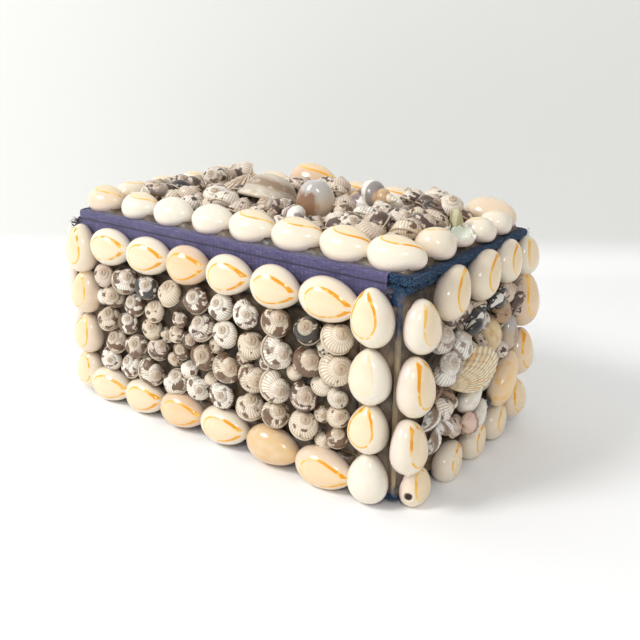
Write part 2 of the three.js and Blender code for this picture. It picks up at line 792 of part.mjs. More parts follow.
addTray();
addLining();
addBaseCloth();
addRibbon();
addLidBoard();
addLongSide('front', [0, -halfWidth, 0], [1, 0, 0], ribbonDrop, 11);
addLongSide('back', [0, halfWidth, 0], [-1, 0, 0], rimTurnover, 2011);
addRightEnd();
addLeftEnd();
addLidShells();

export default model;
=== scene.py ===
import math

import bpy
import numpy as np
from mathutils import Matrix, Vector, noise


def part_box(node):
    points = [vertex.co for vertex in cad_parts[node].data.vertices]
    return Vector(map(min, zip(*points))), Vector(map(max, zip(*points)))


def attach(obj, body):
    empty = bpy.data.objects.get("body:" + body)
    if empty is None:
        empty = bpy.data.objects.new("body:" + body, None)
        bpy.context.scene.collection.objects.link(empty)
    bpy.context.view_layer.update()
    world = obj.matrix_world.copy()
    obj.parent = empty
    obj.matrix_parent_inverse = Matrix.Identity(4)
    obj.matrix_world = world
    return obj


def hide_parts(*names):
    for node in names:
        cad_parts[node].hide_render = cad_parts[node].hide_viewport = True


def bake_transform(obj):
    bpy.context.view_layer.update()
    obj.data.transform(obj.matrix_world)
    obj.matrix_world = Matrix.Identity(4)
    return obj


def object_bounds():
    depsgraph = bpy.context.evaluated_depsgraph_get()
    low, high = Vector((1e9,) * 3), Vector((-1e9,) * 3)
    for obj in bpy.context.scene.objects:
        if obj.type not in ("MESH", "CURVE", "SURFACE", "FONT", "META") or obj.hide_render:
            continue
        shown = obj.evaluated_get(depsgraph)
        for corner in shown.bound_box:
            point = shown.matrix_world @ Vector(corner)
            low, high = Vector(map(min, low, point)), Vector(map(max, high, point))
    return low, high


MM = 0.001
# Lengths in millimetres, angles in radians
SEAT = 1.0  # height of the shells' feet over their panel
LARGE_SEAT = 1.8
BED_FOOT = 0.3
GLUE_TOP, GLUE_PITCH = 1.2, 0.8
LID_BED, LID_BED_SIDE = 63.2, 32.6  # half of the glued area of the lid
PEAK_RISE = 0.3  # least height of a shell's top over the corners round it

COWRIE_SIDES = 7
COWRIE_TOP_SCALE = 0.62  # the upper ring of corners of a CAD cowrie over its outline
COWRIE_TAPER = 0.12
COWRIE_SPREAD = 1.1  # how much wider a cowrie is than its CAD solid
COWRIE_FOOT_ANGLE = 0.8
BELLY = 0.36  # the widest level of a cowrie, as a share of its height
LARGE_COWRIE, LARGE_COWRIE_RISE = 18, 1.3
HOLE_RADIUS, HOLE_DEPTH, HOLE_REACH, HOLE_SIDES = 0.95, 2.2, 2.5, 18

TURBAN_SHAPE = 0.8  # a turban's height over its diameter
TURBAN_LEAN = 0.16
TURBAN_USUAL_LEAN = math.radians(50)
TURBAN_SPREAD = 1.22  # how much wider a turban is than its CAD solid
TURBAN_SUNK = 0.45  # how deep it sits in the glue
RIM_STEPS, RIM_SIDES = 20, 6
RIBS_PER_TURN = 13
FILL_SIZE, FILL_STEP = 7.6, 0.7
UPPER_TURBANS = 42
BLACK_TURBAN_AT = (41, 42)  # u and v of the black shell seen in the front field

WARP_PITCH, WEFT_PITCH, RIB_PITCH = 0.8, 0.7, 1.5  # threads and ribs of the ribbon
CREASE_AT = 5.6
EVEN_TONE = (0.5, 0.5, 0.5)

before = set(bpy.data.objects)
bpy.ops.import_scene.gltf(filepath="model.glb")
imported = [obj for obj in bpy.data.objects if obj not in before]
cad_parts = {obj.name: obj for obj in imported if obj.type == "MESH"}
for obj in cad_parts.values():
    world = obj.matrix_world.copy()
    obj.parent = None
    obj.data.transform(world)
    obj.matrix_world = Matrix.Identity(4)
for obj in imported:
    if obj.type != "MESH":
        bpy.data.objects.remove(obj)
size_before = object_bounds()
CAD_BOX = np.array(size_before)  # metres


def box_mm(name):
    low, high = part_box(name)
    return np.array(low) / MM, np.array(high) / MM


class Panel:
    """A face of the box: u runs to the right on it, v up, and n out of it."""

    def __init__(self, origin, u_axis, v_axis):
        self.origin = np.array(origin, float)
        normal = np.cross(u_axis, v_axis)
        self.axes = np.array([u_axis, v_axis, normal], float)

    def world(self, points):
        return self.origin + np.asarray(points) @ self.axes

    def flat(self, points):
        return (np.asarray(points) - self.origin) @ self.axes.T


half_length, half_width = box_mm("box_tray")[1][:2]
lid_low, lid_high = box_mm("lid_cloth")
lid_middle = (lid_low[0] + lid_high[0]) / 2
PANELS = {
    "front": Panel((0, -half_width, 0), (1, 0, 0), (0, 0, 1)),
    "back": Panel((0, half_width, 0), (-1, 0, 0), (0, 0, 1)),
    "right": Panel((half_length, 0, 0), (0, 1, 0), (0, 0, 1)),
    "left": Panel((-half_length, 0, 0), (0, -1, 0), (0, 0, 1)),
    "lid": Panel((lid_middle, 0, lid_high[2]), (1, 0, 0), (0, 1, 0)),
}
BODIES = {"front": "box", "back": "box", "right": "box", "left": "box", "lid": "lid"}
FIELDS = {"right": "right_mosaic_bed", "left": "left_mosaic_bed", "lid": "lid_turban_field"}


def welded(name):
    """The node's corners in millimetres, each once, and the corners joined to each by an edge."""
    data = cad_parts[name].data
    points = np.empty(len(data.vertices) * 3)
    data.vertices.foreach_get("co", points)
    points = points.reshape(-1, 3) / MM
    keys = np.round(points / 0.01).astype(int)
    _, first, inverse = np.unique(keys, axis=0, return_index=True, return_inverse=True)
    inverse = inverse.ravel()
    joined = [set() for _ in first]
    for polygon in data.polygons:
        ring = [int(inverse[k]) for k in polygon.vertices]
        for k, a in enumerate(ring):
            b = ring[(k + 1) % len(ring)]
            if a != b:
                joined[a].add(b)
                joined[b].add(a)
    return points[first], joined


def tips(panel, name, least):
    """The peaks of a node over its panel, each with the corners round it."""
    corners, joined = welded(name)
    flat = panel.flat(corners)
    found = []
    for k, near in enumerate(joined):
        around = flat[sorted(near)]
        if len(around) > 2 and flat[k, 2] > least and (around[:, 2] < flat[k, 2] - PEAK_RISE).all():
            found.append((flat[k], around))
    return found


def bed_bounds(panel, name):
    """The lowest and highest u and v of the node's foot."""
    flat = panel.flat(welded(name)[0])
    foot = flat[np.abs(flat[:, 2] - BED_FOOT) < 0.05]
    return foot[:, :2].min(axis=0), foot[:, :2].max(axis=0)


def cowrie_fit(tip, around):
    """Length, width and direction of a cowrie from the ring of corners under its top."""
    spokes = around[:, :2] - tip[:2]
    spokes = spokes[np.argsort(np.arctan2(spokes[:, 1], spokes[:, 0]))]
    angles = np.arange(COWRIE_SIDES) * 2 * math.pi / COWRIE_SIDES
    along = np.cos(angles)
    across = np.sin(angles) * (1 - COWRIE_TAPER * along)
    best = None
    for k in range(COWRIE_SIDES):
        turned = np.roll(spokes, -k, axis=0)
        axis = turned[0] / np.linalg.norm(turned[0])
        x = turned @ axis
        y = turned @ np.array([-axis[1], axis[0]])
        half_long = (x @ along) / (along @ along)
        half_wide = (y @ across) / (across @ across)
        miss = np.abs(x - half_long * along).sum() + np.abs(y - half_wide * across).sum()
        if best is None or miss < best[0]:
            best = (miss, half_long, half_wide, math.atan2(axis[1], axis[0]))
    _, half_long, half_wide, turn = best
    return 2 * half_long / COWRIE_TOP_SCALE, 2 * half_wide / COWRIE_TOP_SCALE, turn


def cowrie_places(panel, name):
    places = []
    for tip, around in tips(panel, name, 4):
        if len(around) != COWRIE_SIDES:
            print("NOTE", name, "a top with", len(around), "corners round it at", tip)
            continue
        length, width, turn = cowrie_fit(tip, around)
        place = dict(u=tip[0], v=tip[1], lift=SEAT, turn=turn)
        places.append(dict(place, length=length, width=width, height=tip[2] - SEAT))
    return places


def turban_places(panel, name):
    places = []
    for tip, around in tips(panel, name, 3.5):
        size = (tip[2] - SEAT) / TURBAN_SHAPE
        lean = TURBAN_USUAL_LEAN
        ring = around[:, 2]
        if len(around) == 6 and np.ptp(ring) < 0.05:
            offset = tip[:2] - around[:, :2].mean(axis=0)
            lean = math.atan2(offset[1], offset[0])
        centre = tip[:2] - TURBAN_LEAN * size * np.array([math.cos(lean), math.sin(lean)])
        places.append(dict(u=centre[0], v=centre[1], lift=SEAT, turn=0.0, size=size, lean=lean))
    return places


def round_angles(count):
    return np.arange(count) * 2 * math.pi / count


def gathered(*parts):
    """Parts of the coordinates, each spread over the same net, as one row of three for each point."""
    return np.stack([part.ravel() for part in np.broadcast_arrays(*parts)], axis=1)


def rotated(x, y, angle):
    c, s = math.cos(angle), math.sin(angle)
    return x * c - y * s, x * s + y * c


def placed(panel, place, points):
    """Points of a shell, standing on z = 0, turned, rolled outward and put on the panel at their place."""
    x, y, z = points.T
    x, y = rotated(x, y, place["turn"])
    y, z = rotated(y, z, place.get("roll", 0))
    return panel.world(gathered(x + place["u"], y + place["v"], z + place["lift"]))


def net(rows, columns, wrap=True):
    """The four-cornered faces between the rows of a net of points."""
    down = np.arange(rows - 1)[:, None] * columns
    side = np.arange(columns if wrap else columns - 1)[None, :]
    beside = (side + 1) % columns
    faces = [down + side, down + beside, down + columns + beside, down + columns + side]
    return np.stack(np.broadcast_arrays(*faces), axis=-1).reshape(-1, 4)


def cap(start, columns, pole, flip=False):
    """The triangles from a ring of points to a pole."""
    a = start + np.arange(columns)
    b = start + (np.arange(columns) + 1) % columns
    pair = [b, a] if flip else [a, b]
    return np.stack([*pair, np.full(columns, pole)], axis=-1)


class Heap:
    """Shells and glue gathered into one mesh, in millimetres, kept inside the limits."""

    def __init__(self):
        self.points, self.local, self.tone, self.faces = [], [], [], []
        self.count = 0
        self.limits = CAD_BOX

    def add(self, points, faces, local, tone, stuff):
        self.points.append(points)
        self.local.append(local)
        self.tone.append(np.tile(np.asarray(tone, float), (len(points), 1)))
        self.faces += [(f + self.count, stuff) for f in faces if len(f)]
        self.count += len(points)

    def build(self, name, body, *nodes, slot=None):
        mesh = bpy.data.meshes.new(name)
        points = np.clip(np.concatenate(self.points) * MM, *self.limits)
        loops = np.concatenate([f.ravel() for f, _ in self.faces])
        sides = np.concatenate([np.full(len(f), f.shape[1]) for f, _ in self.faces])
        names = sorted({stuff for _, stuff in self.faces})
        index = np.concatenate([np.full(len(f), names.index(stuff)) for f, stuff in self.faces])
        mesh.vertices.add(len(points))
        mesh.vertices.foreach_set("co", points.ravel())
        mesh.loops.add(len(loops))
        mesh.loops.foreach_set("vertex_index", loops.astype(np.int32))
        mesh.polygons.add(len(sides))
        starts = np.concatenate([[0], np.cumsum(sides)[:-1]])
        mesh.polygons.foreach_set("loop_start", starts.astype(np.int32))
        mesh.polygons.foreach_set("material_index", index.astype(np.int32))
        mesh.update(calc_edges=True)
        for label, values in (("local", self.local), ("tone", self.tone)):
            attribute = mesh.attributes.new(label, "FLOAT_VECTOR", "POINT")
            attribute.data.foreach_set("vector", np.concatenate(values).astype(np.float32).ravel())
        mesh.validate()
        mesh.shade_smooth()
        for stuff in names:
            mesh.materials.append(materials[stuff])
        obj = bpy.data.objects.new(name, mesh)
        bpy.context.scene.collection.objects.link(obj)
        if body:
            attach(obj, body)
        if nodes:
            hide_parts(*nodes)
        return obj


def waves(points, scale, seed):
    """Smooth unevenness from -1 to 1 at each point."""
    shift = Vector((seed * 7.1, seed * 3.7, seed * 1.9))
    return np.array([noise.noise(Vector(p) / scale + shift) for p in points])


# The shells, each standing on z = 0 with its length along x


def cowrie(length, width, height, seed, rows=15, columns=40):
    """Domed, egg-shaped, with its narrow end at +x and a swollen foot."""
    local_rng = np.random.default_rng(seed)
    lat = np.linspace(-COWRIE_FOOT_ANGLE, 0.5 * math.pi - 0.05, rows)[:, None]
    angle = round_angles(columns)[None, :]
    ahead = np.cos(angle)
    reach = np.where(lat > 0, np.cos(lat) ** 0.86, np.cos(lat * 0.72))
    under = BELLY * (1 + np.sin(lat) / math.sin(COWRIE_FOOT_ANGLE))
    level = np.where(lat > 0, BELLY + (1 - BELLY) * np.sin(lat), under)
    wobble = local_rng.uniform(0, 2 * math.pi, 3)
    dent = 1 + 0.012 * np.sin(2 * angle + wobble[0] + lat) + 0.01 * np.sin(3 * angle + wobble[1] - 2 * lat)
    reach = reach * dent
    along = ahead * reach * 0.985
    pinch = local_rng.uniform(0.14, 0.22)
    side = np.sin(angle) * (1 - pinch * ahead) * reach / math.sqrt(1 + (pinch - COWRIE_TAPER))
    side = side * (1 - 0.16 * np.clip(ahead, 0, 1) ** 4 - 0.07 * np.clip(-ahead, 0, 1) ** 4)
    rise = level + 0 * angle
    slope = 1 - 0.1 * along * np.clip(rise, 0, 1)
    z = rise * slope / np.max(rise * slope)
    points = gathered((along - 0.05 * rise) * length / 2, side * width / 2, z * height)
    top = points[-columns:].mean(axis=0) + [0, 0, 0.004 * height]
    points = np.vstack([points, top])
    faces = [net(rows, columns), cap((rows - 1) * columns, columns, rows * columns)]
    return points, faces, points / [length / 2, width / 2, height]


def spiral(turns, fall, ring, tube, rise, low, tall=1.0, sides=14, per_turn=24, ribs=0.0):
    """A coiled shell standing on its mouth, point up. fall is the size of a whorl over the one before."""
    steps = int(turns * per_turn)
    s = np.linspace(0, turns, steps)[:, None]
    g = fall**s
    phi = (round_angles(sides) - math.pi / 2)[None, :]
    mouth = np.clip(s * per_turn / 4, 0, 1)
    swell = g * (0.2 + 0.8 * np.sin(mouth * math.pi / 2))
    if ribs:
        swell = swell * (1 + ribs * np.cos(s * 2 * math.pi * RIBS_PER_TURN + 0.6 * np.sin(phi)))
    radius = ring * g + tube * swell * np.cos(phi)
    z = rise - (rise - low) * g + tube * tall * swell * np.sin(phi)
    angle = s * 2 * math.pi
    points = gathered(radius * np.cos(angle), radius * np.sin(angle), z)
    points = np.vstack([points, points[:sides].mean(axis=0), points[-sides:].mean(axis=0)])
    share = points[:, 2] / max(points[:, 2].max(), 1e-6)
    around = np.concatenate([(phi + 0 * s).ravel() / math.pi, [0, 0.5]])
    turned = np.concatenate([(s + 0 * phi).ravel(), [0, turns]])
    count = steps * sides
    faces = [net(steps, sides), cap(0, sides, count, flip=True), cap(count - sides, sides, count + 1)]
    return points, faces, gathered(share, turned, around)


def turban(size, lean, seed):
    """A small coiled globe lying on its mouth, its point to one side, and the thin rim of its mouth."""
    local_rng = np.random.default_rng(seed)
    fall = local_rng.uniform(0.56, 0.64)
    tube = local_rng.uniform(0.58, 0.64)
    rise = local_rng.uniform(1.6, 1.85)
    ring = 1 - tube
    points, faces, local = spiral(3.5, fall, ring, tube, rise, tube, sides=12, per_turn=22)
    s = np.linspace(0.06, 0.62, RIM_STEPS)[:, None]
    around = round_angles(RIM_SIDES)[None, :]
    g = fall**s
    thick = 0.075 * np.sin(np.linspace(0.05, math.pi - 0.05, RIM_STEPS))[:, None] ** 0.5
    low_side = local_rng.uniform(-0.75, -0.35)
    reach = ring * g + tube * g * math.cos(low_side) * 1.07 + thick * np.cos(around)
    level = rise - (rise - tube) * g + tube * g * math.sin(low_side) * 1.07 + thick * 0.7 * np.sin(around)
    angle = s * 2 * math.pi
    count = len(points)
    points = np.vstack([points, gathered(reach * np.cos(angle), reach * np.sin(angle), level)])
    spin = 0.94 + local_rng.uniform(-0.45, 0.45)
    x, y, z = points.T
    x, y = rotated(x, y, spin)
    z, x = rotated(z, x, local_rng.uniform(0.5, 1.05))
    x, y = rotated(x, y, lean)
    points = gathered(x, y, z)
    low, high = points.min(axis=0), points.max(axis=0)
    points[:, :2] -= (low[:2] + high[:2]) / 2
    points[:, 2] -= low[2]
    across = TURBAN_SPREAD * size / (high[:2] - low[:2]).mean()
    tall = (TURBAN_SHAPE * size * 1.06 + TURBAN_SUNK) / (high[2] - low[2])
    points *= [across, across, tall]
    points[:, 2] -= TURBAN_SUNK
    rim_local = gathered(s, around, np.zeros(1))
    return points[:count], faces, local, points[count:], [net(RIM_STEPS, RIM_SIDES)], rim_local


def whelk(length, radius, seed, fall=0.6, turns=5.2, ribs=0.0):
    """A long coiled shell lying down, its point at +x, with a drawn-out mouth end."""
    tube = radius * 0.62
    body = length * 0.36
    shape = dict(turns=turns, fall=fall, ring=radius - tube, tube=tube, rise=length * 0.99, low=body)
    points, faces, local = spiral(**shape, tall=1.25, sides=16, per_turn=26, ribs=ribs)
    z = points[:, 2]
    below = np.clip((body - z) / body, 0, None)
    z = np.where(z < body, body - (body - z) * 1.12, z)
    z = (z - z.min()) / (z.max() - z.min()) * length
    narrow = 1 - 0.55 * np.clip(below, 0, 1) ** 1.5
    x, y = points[:, 0] * narrow, points[:, 1] * narrow
    scale = radius / max(np.abs(x).max(), np.abs(y).max())
    side, up = rotated(x * scale, y * scale, np.random.default_rng(seed).uniform(0, 2 * math.pi))
    local[:, 0] = z / length
    return gathered(z - length / 2, side, up), faces, local


def limpet(half_long, half_wide, height, ribs, tip, rows=20):
    """A cone with swelling sides and rays of ribs from its tip, which lies off its middle."""
    columns = ribs * 10
    share = np.linspace(0, 1, rows)[:, None]
    angle = (round_angles(columns) + math.pi / 2)[None, :]
    rib = np.cos(angle * ribs)
    reach = (1 - share) ** 0.6 * (1 + 0.05 * rib * (1 - share * 0.6))
    reach = reach + 0.012 * np.sin(share * 60 + 2 * np.sin(angle * 2))
    x = half_long * reach * np.cos(angle) + tip[0] * share
    y = half_wide * reach * np.sin(angle) + tip[1] * share
    z = height * share + 0.035 * height * rib * (1 - share)
    return gathered(x, y, z), [net(rows, columns)], gathered(share, angle / math.pi, rib)


def fan(length, width, height, ribs, depth, spread, hinge):
    """Half a scallop: rays of ribs over spread degrees to either side, from a small beak at -x."""
    rows, columns = 26, ribs * 10 + 1
    share = np.linspace(0.02, 1, rows)[:, None]
    across = np.linspace(-1, 1, columns)[None, :]
    angle = np.radians(spread) * across
    wave = np.cos(across * math.pi * ribs)
    edge = 1 - depth * 0.5 * (1 - wave)
    rim_x, rim_y = length / 2 * np.cos(angle) * edge, width / 2 * np.sin(angle) * edge
    beak_x, beak_y = -length / 2, hinge / 2 * across * 0.5
    x = beak_x + (rim_x - beak_x) * share
    y = beak_y + (rim_y - beak_y) * share**0.92
    side = 1 - np.abs(across) ** 3.2
    arch = np.sin(share * math.pi * 0.93) ** 0.7 * side**0.75
    ridge = 0.07 * wave * np.sin(share * math.pi * 0.6 + 0.2) * side
    z = height * np.clip(arch * 0.93 + ridge + 0.02 * np.sin(share * 40), 0, 1)
    return gathered(x, y, z), [net(rows, columns, wrap=False)], gathered(share, across, wave)


def rgb(red, green, blue):
    """A colour from its 0 to 255 values as a screen shows them."""
    share = np.array([red, green, blue]) / 255
    linear = np.where(share <= 0.04045, share / 12.92, ((share + 0.055) / 1.055) ** 2.4)
    return (*linear.tolist(), 1.0)


class Value:
    """A number or vector that varies over a surface, for sums as with plain numbers."""

    def __init__(self, finish, socket):
        self.finish, self.socket = finish, socket

    def __add__(self, other):
        return self.finish.math("ADD", self, other)

    def __sub__(self, other):
        return self.finish.math("SUBTRACT", self, other)

    def __rsub__(self, other):
        return self.finish.math("SUBTRACT", other, self)

    def __mul__(self, other):
        return self.finish.math("MULTIPLY", self, other)

    def __truediv__(self, other):
        return self.finish.math("DIVIDE", self, other)

    def __abs__(self):
        return self.finish.math("ABSOLUTE", self)

    def most(self, other):
        return self.finish.math("MAXIMUM", self, other)

    def sine(self):
        return self.finish.math("SINE", self)

    def step(self, low, high, to_low=0.0, to_high=1.0):
        """A smooth step from to_low to to_high between the values low and high."""
        node = self.finish.make("ShaderNodeMapRange", (self, low, high, to_low, to_high))
        node.interpolation_type = "SMOOTHSTEP"
        return Value(self.finish, node.outputs[0])


class Finish:
    """One material, its colour laid on in coats. A colour is three values from 0 to 255."""

    def __init__(self, name, rough=0.4, coat=0.0, sheen=0.0):
        self.material = bpy.data.materials.new(name)
        self.material.use_nodes = True
        self.tree = self.material.node_tree
        self.shader = self.tree.nodes["Principled BSDF"].inputs
        self.shader["Roughness"].default_value = rough
        self.shader["Coat Weight"].default_value = coat
        self.shader["Sheen Weight"].default_value = sheen
        self.place = Value(self, self.make("ShaderNodeTexCoord").outputs["Object"])
        self.skin = None

    def put(self, socket, value):
        if isinstance(value, Value):
            self.tree.links.new(value.socket, socket)
        elif isinstance(value, tuple):
            socket.default_value = rgb(*value)
        else:
            socket.default_value = value

    def make(self, kind, values=()):
        """A shader node with its first inputs set."""
        node = self.tree.nodes.new(kind)
        for socket, value in zip(node.inputs, values):
            self.put(socket, value)
        return node

    def math(self, operation, *values):
        node = self.make("ShaderNodeMath", values)
        node.operation = operation
        return Value(self, node.outputs[0])

    def mix(self, share, a, b):
        node = self.make("ShaderNodeMix")
        node.data_type = "RGBA"
        for number, value in ((0, share), (6, a), (7, b)):
            self.put(node.inputs[number], value)
        return Value(self, node.outputs[2])

    def split(self, source):
        """The three parts of a vector, or of the named attribute of the mesh."""
        if isinstance(source, str):
            node = self.make("ShaderNodeAttribute")
            node.attribute_name = source
            source = Value(self, node.outputs["Vector"])
        outputs = self.make("ShaderNodeSeparateXYZ", [source]).outputs
        return [Value(self, socket) for socket in outputs]

    def join(self, x, y, z):
        return Value(self, self.make("ShaderNodeCombineXYZ", (x, y, z)).outputs[0])

    def noise(self, vector, scale, detail=2.0, rough=0.5):
        node = self.make("ShaderNodeTexNoise")
        for name, value in (("Vector", vector), ("Scale", scale), ("Detail", detail), ("Roughness", rough)):
            self.put(node.inputs[name], value)
        return Value(self, node.outputs[0])

    def grain(self, scale, detail=2.0, rough=0.5):
        return self.noise(self.place, scale, detail, rough)

    def start(self, share, a, b):
        self.skin = self.mix(share, a, b)

    def paint(self, share, colour):
        self.skin = self.mix(share, self.skin, colour)

    def rough(self, value):
        self.put(self.shader["Roughness"], value)

    def bump(self, height, strength, distance):
        node = self.make("ShaderNodeBump")
        for name, value in (("Height", height), ("Strength", strength), ("Distance", distance)):
            self.put(node.inputs[name], value)
        self.tree.links.new(node.outputs[0], self.shader["Normal"])

    def done(self):
        self.put(self.shader["Base Color"], self.skin)
        return self.material


def cowrie_finish():
    """Glossy cream, with a golden egg-shaped ring on the back and a warmer field inside it, and painted shade
    on the undercut foot.
    """
    m = Finish("cowrie_glaze", rough=0.2, coat=0.35)
    m.shader["Coat Roughness"].default_value = 0.08
    x, y, z = m.split("local")
    hue, ring, chance = m.split("tone")
    own = m.join(x, y, chance * 19.0)
    m.start(hue.step(0.0, 0.45), (238, 232, 215), (238, 224, 199))
    m.paint(hue.step(0.45, 0.75), (224, 190, 156))
    m.paint(hue.step(0.8, 1.0), (222, 188, 134))
    m.paint(m.noise(own, 1.7).step(0.35, 0.75) * 0.45, (236, 216, 196))
    along = x + (m.noise(own, 1.2, 1.0) - 0.5) * 0.16
    across = (y - 0.06) / (along * -0.3 + 0.72)
    stretched = (along - 0.14) / 0.79
    reach = m.math("SQRT", across * across + stretched * stretched)
    outer = m.mix(z.step(0.5, 0.12) * 0.75, m.skin, (226, 206, 198))
    field = m.mix(ring.step(0.12, 0.35), m.skin, m.mix(0.5, m.skin, (242, 210, 158)))
    m.start(reach.step(0.94, 0.8), outer, field)
    toward = along.step(-0.45, 0.5) * y.step(-0.75, 0.15, 0.62, 1.0)
    line = (abs(reach - 0.88) / (toward * 0.055 + 0.048)).step(1.4, 0.55)
    unbroken = m.noise(own, 2.4, 1.0).step(0.33, 0.5).most(toward * 0.6)
    opening = along.step(0.66, 0.74) * abs(y - 0.06).step(0.13, 0.07)
    strength = line * (toward * 0.45 + 0.55) * unbroken * (1.0 - opening) * z.step(0.1, 0.2) * ring
    gold = m.mix(strength.step(0.3, 0.9), (244, 200, 100), (234, 154, 14))
    m.paint(strength.step(0.04, 0.5), gold)
    m.paint(m.grain(900.0).step(0.7, 0.78) * 0.12, (170, 150, 125))
    # Painted shade: the undercut foot, turned down towards the bed, is darkened brown-grey
    m.paint(z.step(0.16, 0.02) * 0.55, (150, 132, 108))
    m.rough(m.grain(350.0, 3.0).step(0.3, 0.75, 0.14, 0.3))
    m.bump(m.grain(420.0, 3.0), 0.12, 0.0001)
    return m.done()


def turban_finish(name, pale, mid, dark, zigzag):
    """Coiled shells: fine growth lines, a pale point, and dark flames low on the last whorl, with painted
    shade in the sutures and on the undersides of the whorls.
    """
    m = Finish(name, rough=0.4, coat=0.1)
    _, turn, around = m.split("local")
    hue, strength, chance = m.split("tone")
    own = m.join(turn, around, chance * 31.0)
    growth = (turn * 190.0 + around * 9.0).sine() * 0.5 + 0.5
    m.start(hue.step(0.1, 0.6), pale, mid)
    m.paint(growth.step(0.45, 0.95) * 0.5, (140, 114, 90))
    kinks = (around * 15.0).sine() * zigzag
    flame = (turn * 26.0 + kinks + (m.noise(own, 3.0) - 0.5) * 5.0).sine()
    checks = m.noise(m.join(turn * 9.0, around * 3.2, chance * 57.0), 1.0, 1.0)
    patch = (checks - (strength * -0.28 + 0.68)).step(-0.02, 0.05)
    flame = flame.step(0.25, 0.6) * strength.step(0.25, 0.65)
    mark = patch.most(flame * m.noise(own, 1.6, 1.0).step(0.4, 0.58))
    m.paint(mark * (turn.step(1.25, 0.75) * 0.75 + 0.25) * 0.95, dark)
    m.paint(turn.step(1.7, 2.6) * 0.7, (176, 150, 122))
    # Painted shade: a dark line along the suture, where each whorl meets the one above it
    m.paint(abs(around - 0.86).step(0.22, 0.04) * 0.55, (84, 66, 52))
    # Painted shade: the underside of each whorl is darkened
    m.paint(around.step(-0.15, -0.45) * 0.3, (110, 88, 70))
    m.rough(m.grain(500.0).step(0.3, 0.7, 0.3, 0.5))
    m.bump(growth * 0.6 + m.grain(900.0), 0.25, 0.00012)
    return m.done()


def lip_finish():
    """The rim of a small shell's mouth, with a dark check here and there."""
    m = Finish("turban_lip", rough=0.28, coat=0.3)
    x, y, _ = m.split("local")
    _, strength, chance = m.split("tone")
    own = m.join(x, y, chance * 23.0)
    mark = m.noise(own, 2.6, 1.0).step(0.56, 0.62) * strength.step(0.3, 0.6)
    m.start(mark, (214, 198, 174), (92, 70, 56))
    return m.done()


def banded_finish(name, seed, starts, colours):
    """A coiled shell in bands of colour from its mouth to its point, each but the first from its start on."""
    m = Finish(name, rough=0.3, coat=0.2)
    share, turn, around = m.split("local")
    wave = m.noise(m.join(turn, around, share + seed), 2.2) - 0.5
    along = share + wave * 0.12
    m.skin = colours[0]
    for start, colour in zip(starts, colours[1:]):
        m.paint(along.step(start - 0.018, start + 0.018), colour)
    grain = m.noise(m.join(turn * 40.0, around * 2.0, seed), 1.0)
    m.paint(grain.step(0.5, 0.72) * 0.25, (120, 96, 78))
    m.bump(grain, 0.35, 0.00015)
    return m.done()


def ray_finish(name, rib, furrow, ray, rings):
    """A ribbed shell: pale ribs, darker furrows, coloured rays and rings of growth."""
    m = Finish(name, rough=0.45, coat=0.1)
    share, angle, wave = m.split("local")
    m.start(wave.step(-0.6, 0.5), furrow, rib)
    blotch = m.noise(m.join(angle * 7.0, share * 3.0, 2.0), 1.0)
    m.paint(blotch.step(0.5, 0.68) * 0.75, ray)
    ring = (share * rings + m.grain(300.0, 1.0) * 4.0).sine()
    m.paint(ring.step(0.3, 1.0) * 0.22, (140, 112, 88))
    m.bump(ring + m.grain(800.0), 0.3, 0.0002)
    return m.done()


def plain_shell(name, low, high, spot, rough=0.25, coat=0.3):
    """A smooth shell, its colour changing over its height, with a few soft marks."""
    m = Finish(name, rough, coat)
    x, y, z = m.split("local")
    _, _, chance = m.split("tone")
    m.start(z.step(0.1, 0.9), low, high)
    own = m.join(x, y, z + chance * 17.0)
    m.paint(m.noise(own, 2.3, 3.0).step(0.52, 0.66) * 0.7, spot)
    m.bump(m.grain(700.0), 0.2, 0.0001)
    return m.done()


def standing_finish():
    """A glossy egg-shaped shell: grey above, a brown blotch on its back and pale margins."""
    m = Finish("standing_shell", rough=0.15, coat=0.5)
    x, y, z = m.split("local")
    _, _, chance = m.split("tone")
    wave = m.noise(m.join(x, y, z + chance * 17.0), 2.4, 3.0) - 0.5
    m.start((x + wave).step(-0.1, 0.5), (198, 178, 154), (190, 184, 178))
    blotch = (abs(x + 0.1) + wave * 0.9).step(0.55, 0.3) * (y + wave * 0.6).step(0.45, 0.1)
    m.paint(blotch * 0.85, (138, 94, 60))
    m.paint(z.step(0.25, 0.05), (236, 230, 220))
    m.bump(m.grain(700.0), 0.2, 0.0001)
    return m.done()


def dark_banded():
    """Black curved shells with white bands."""
    m = Finish("black_banded_shell", rough=0.25, coat=0.4)
    share, turn, around = m.split("local")
    wave = m.noise(m.join(share, turn, around), 3.0)
    band = (turn * 17.0 + wave * 3.0).sine()
    m.start(band.step(0.62, 0.8), (34, 32, 31), (226, 222, 212))
    return m.done()


def glue_and_shade_finish():
    """Old glue between the shells: grey-brown, with darker patches and glossier patches; its colours are kept
    darker than the glue's own as painted shade for the gaps between the shells.
    """
    m = Finish("glue_with_painted_shade", rough=0.5)
    # Painted shade: both glue colours and the near-black patches are darker than the glue itself, for the
    # shade in the gaps between the shells
    m.start(m.grain(240.0, 4.0, 0.6).step(0.3, 0.7), (70, 57, 43), (122, 103, 80))
    m.paint(m.grain(90.0).step(0.4, 0.65) * 0.75, (46, 38, 30))
    m.rough(m.grain(400.0).step(0.3, 0.7, 0.3, 0.65))
    m.bump(m.grain(600.0, 4.0), 0.5, 0.0003)
    return m.done()


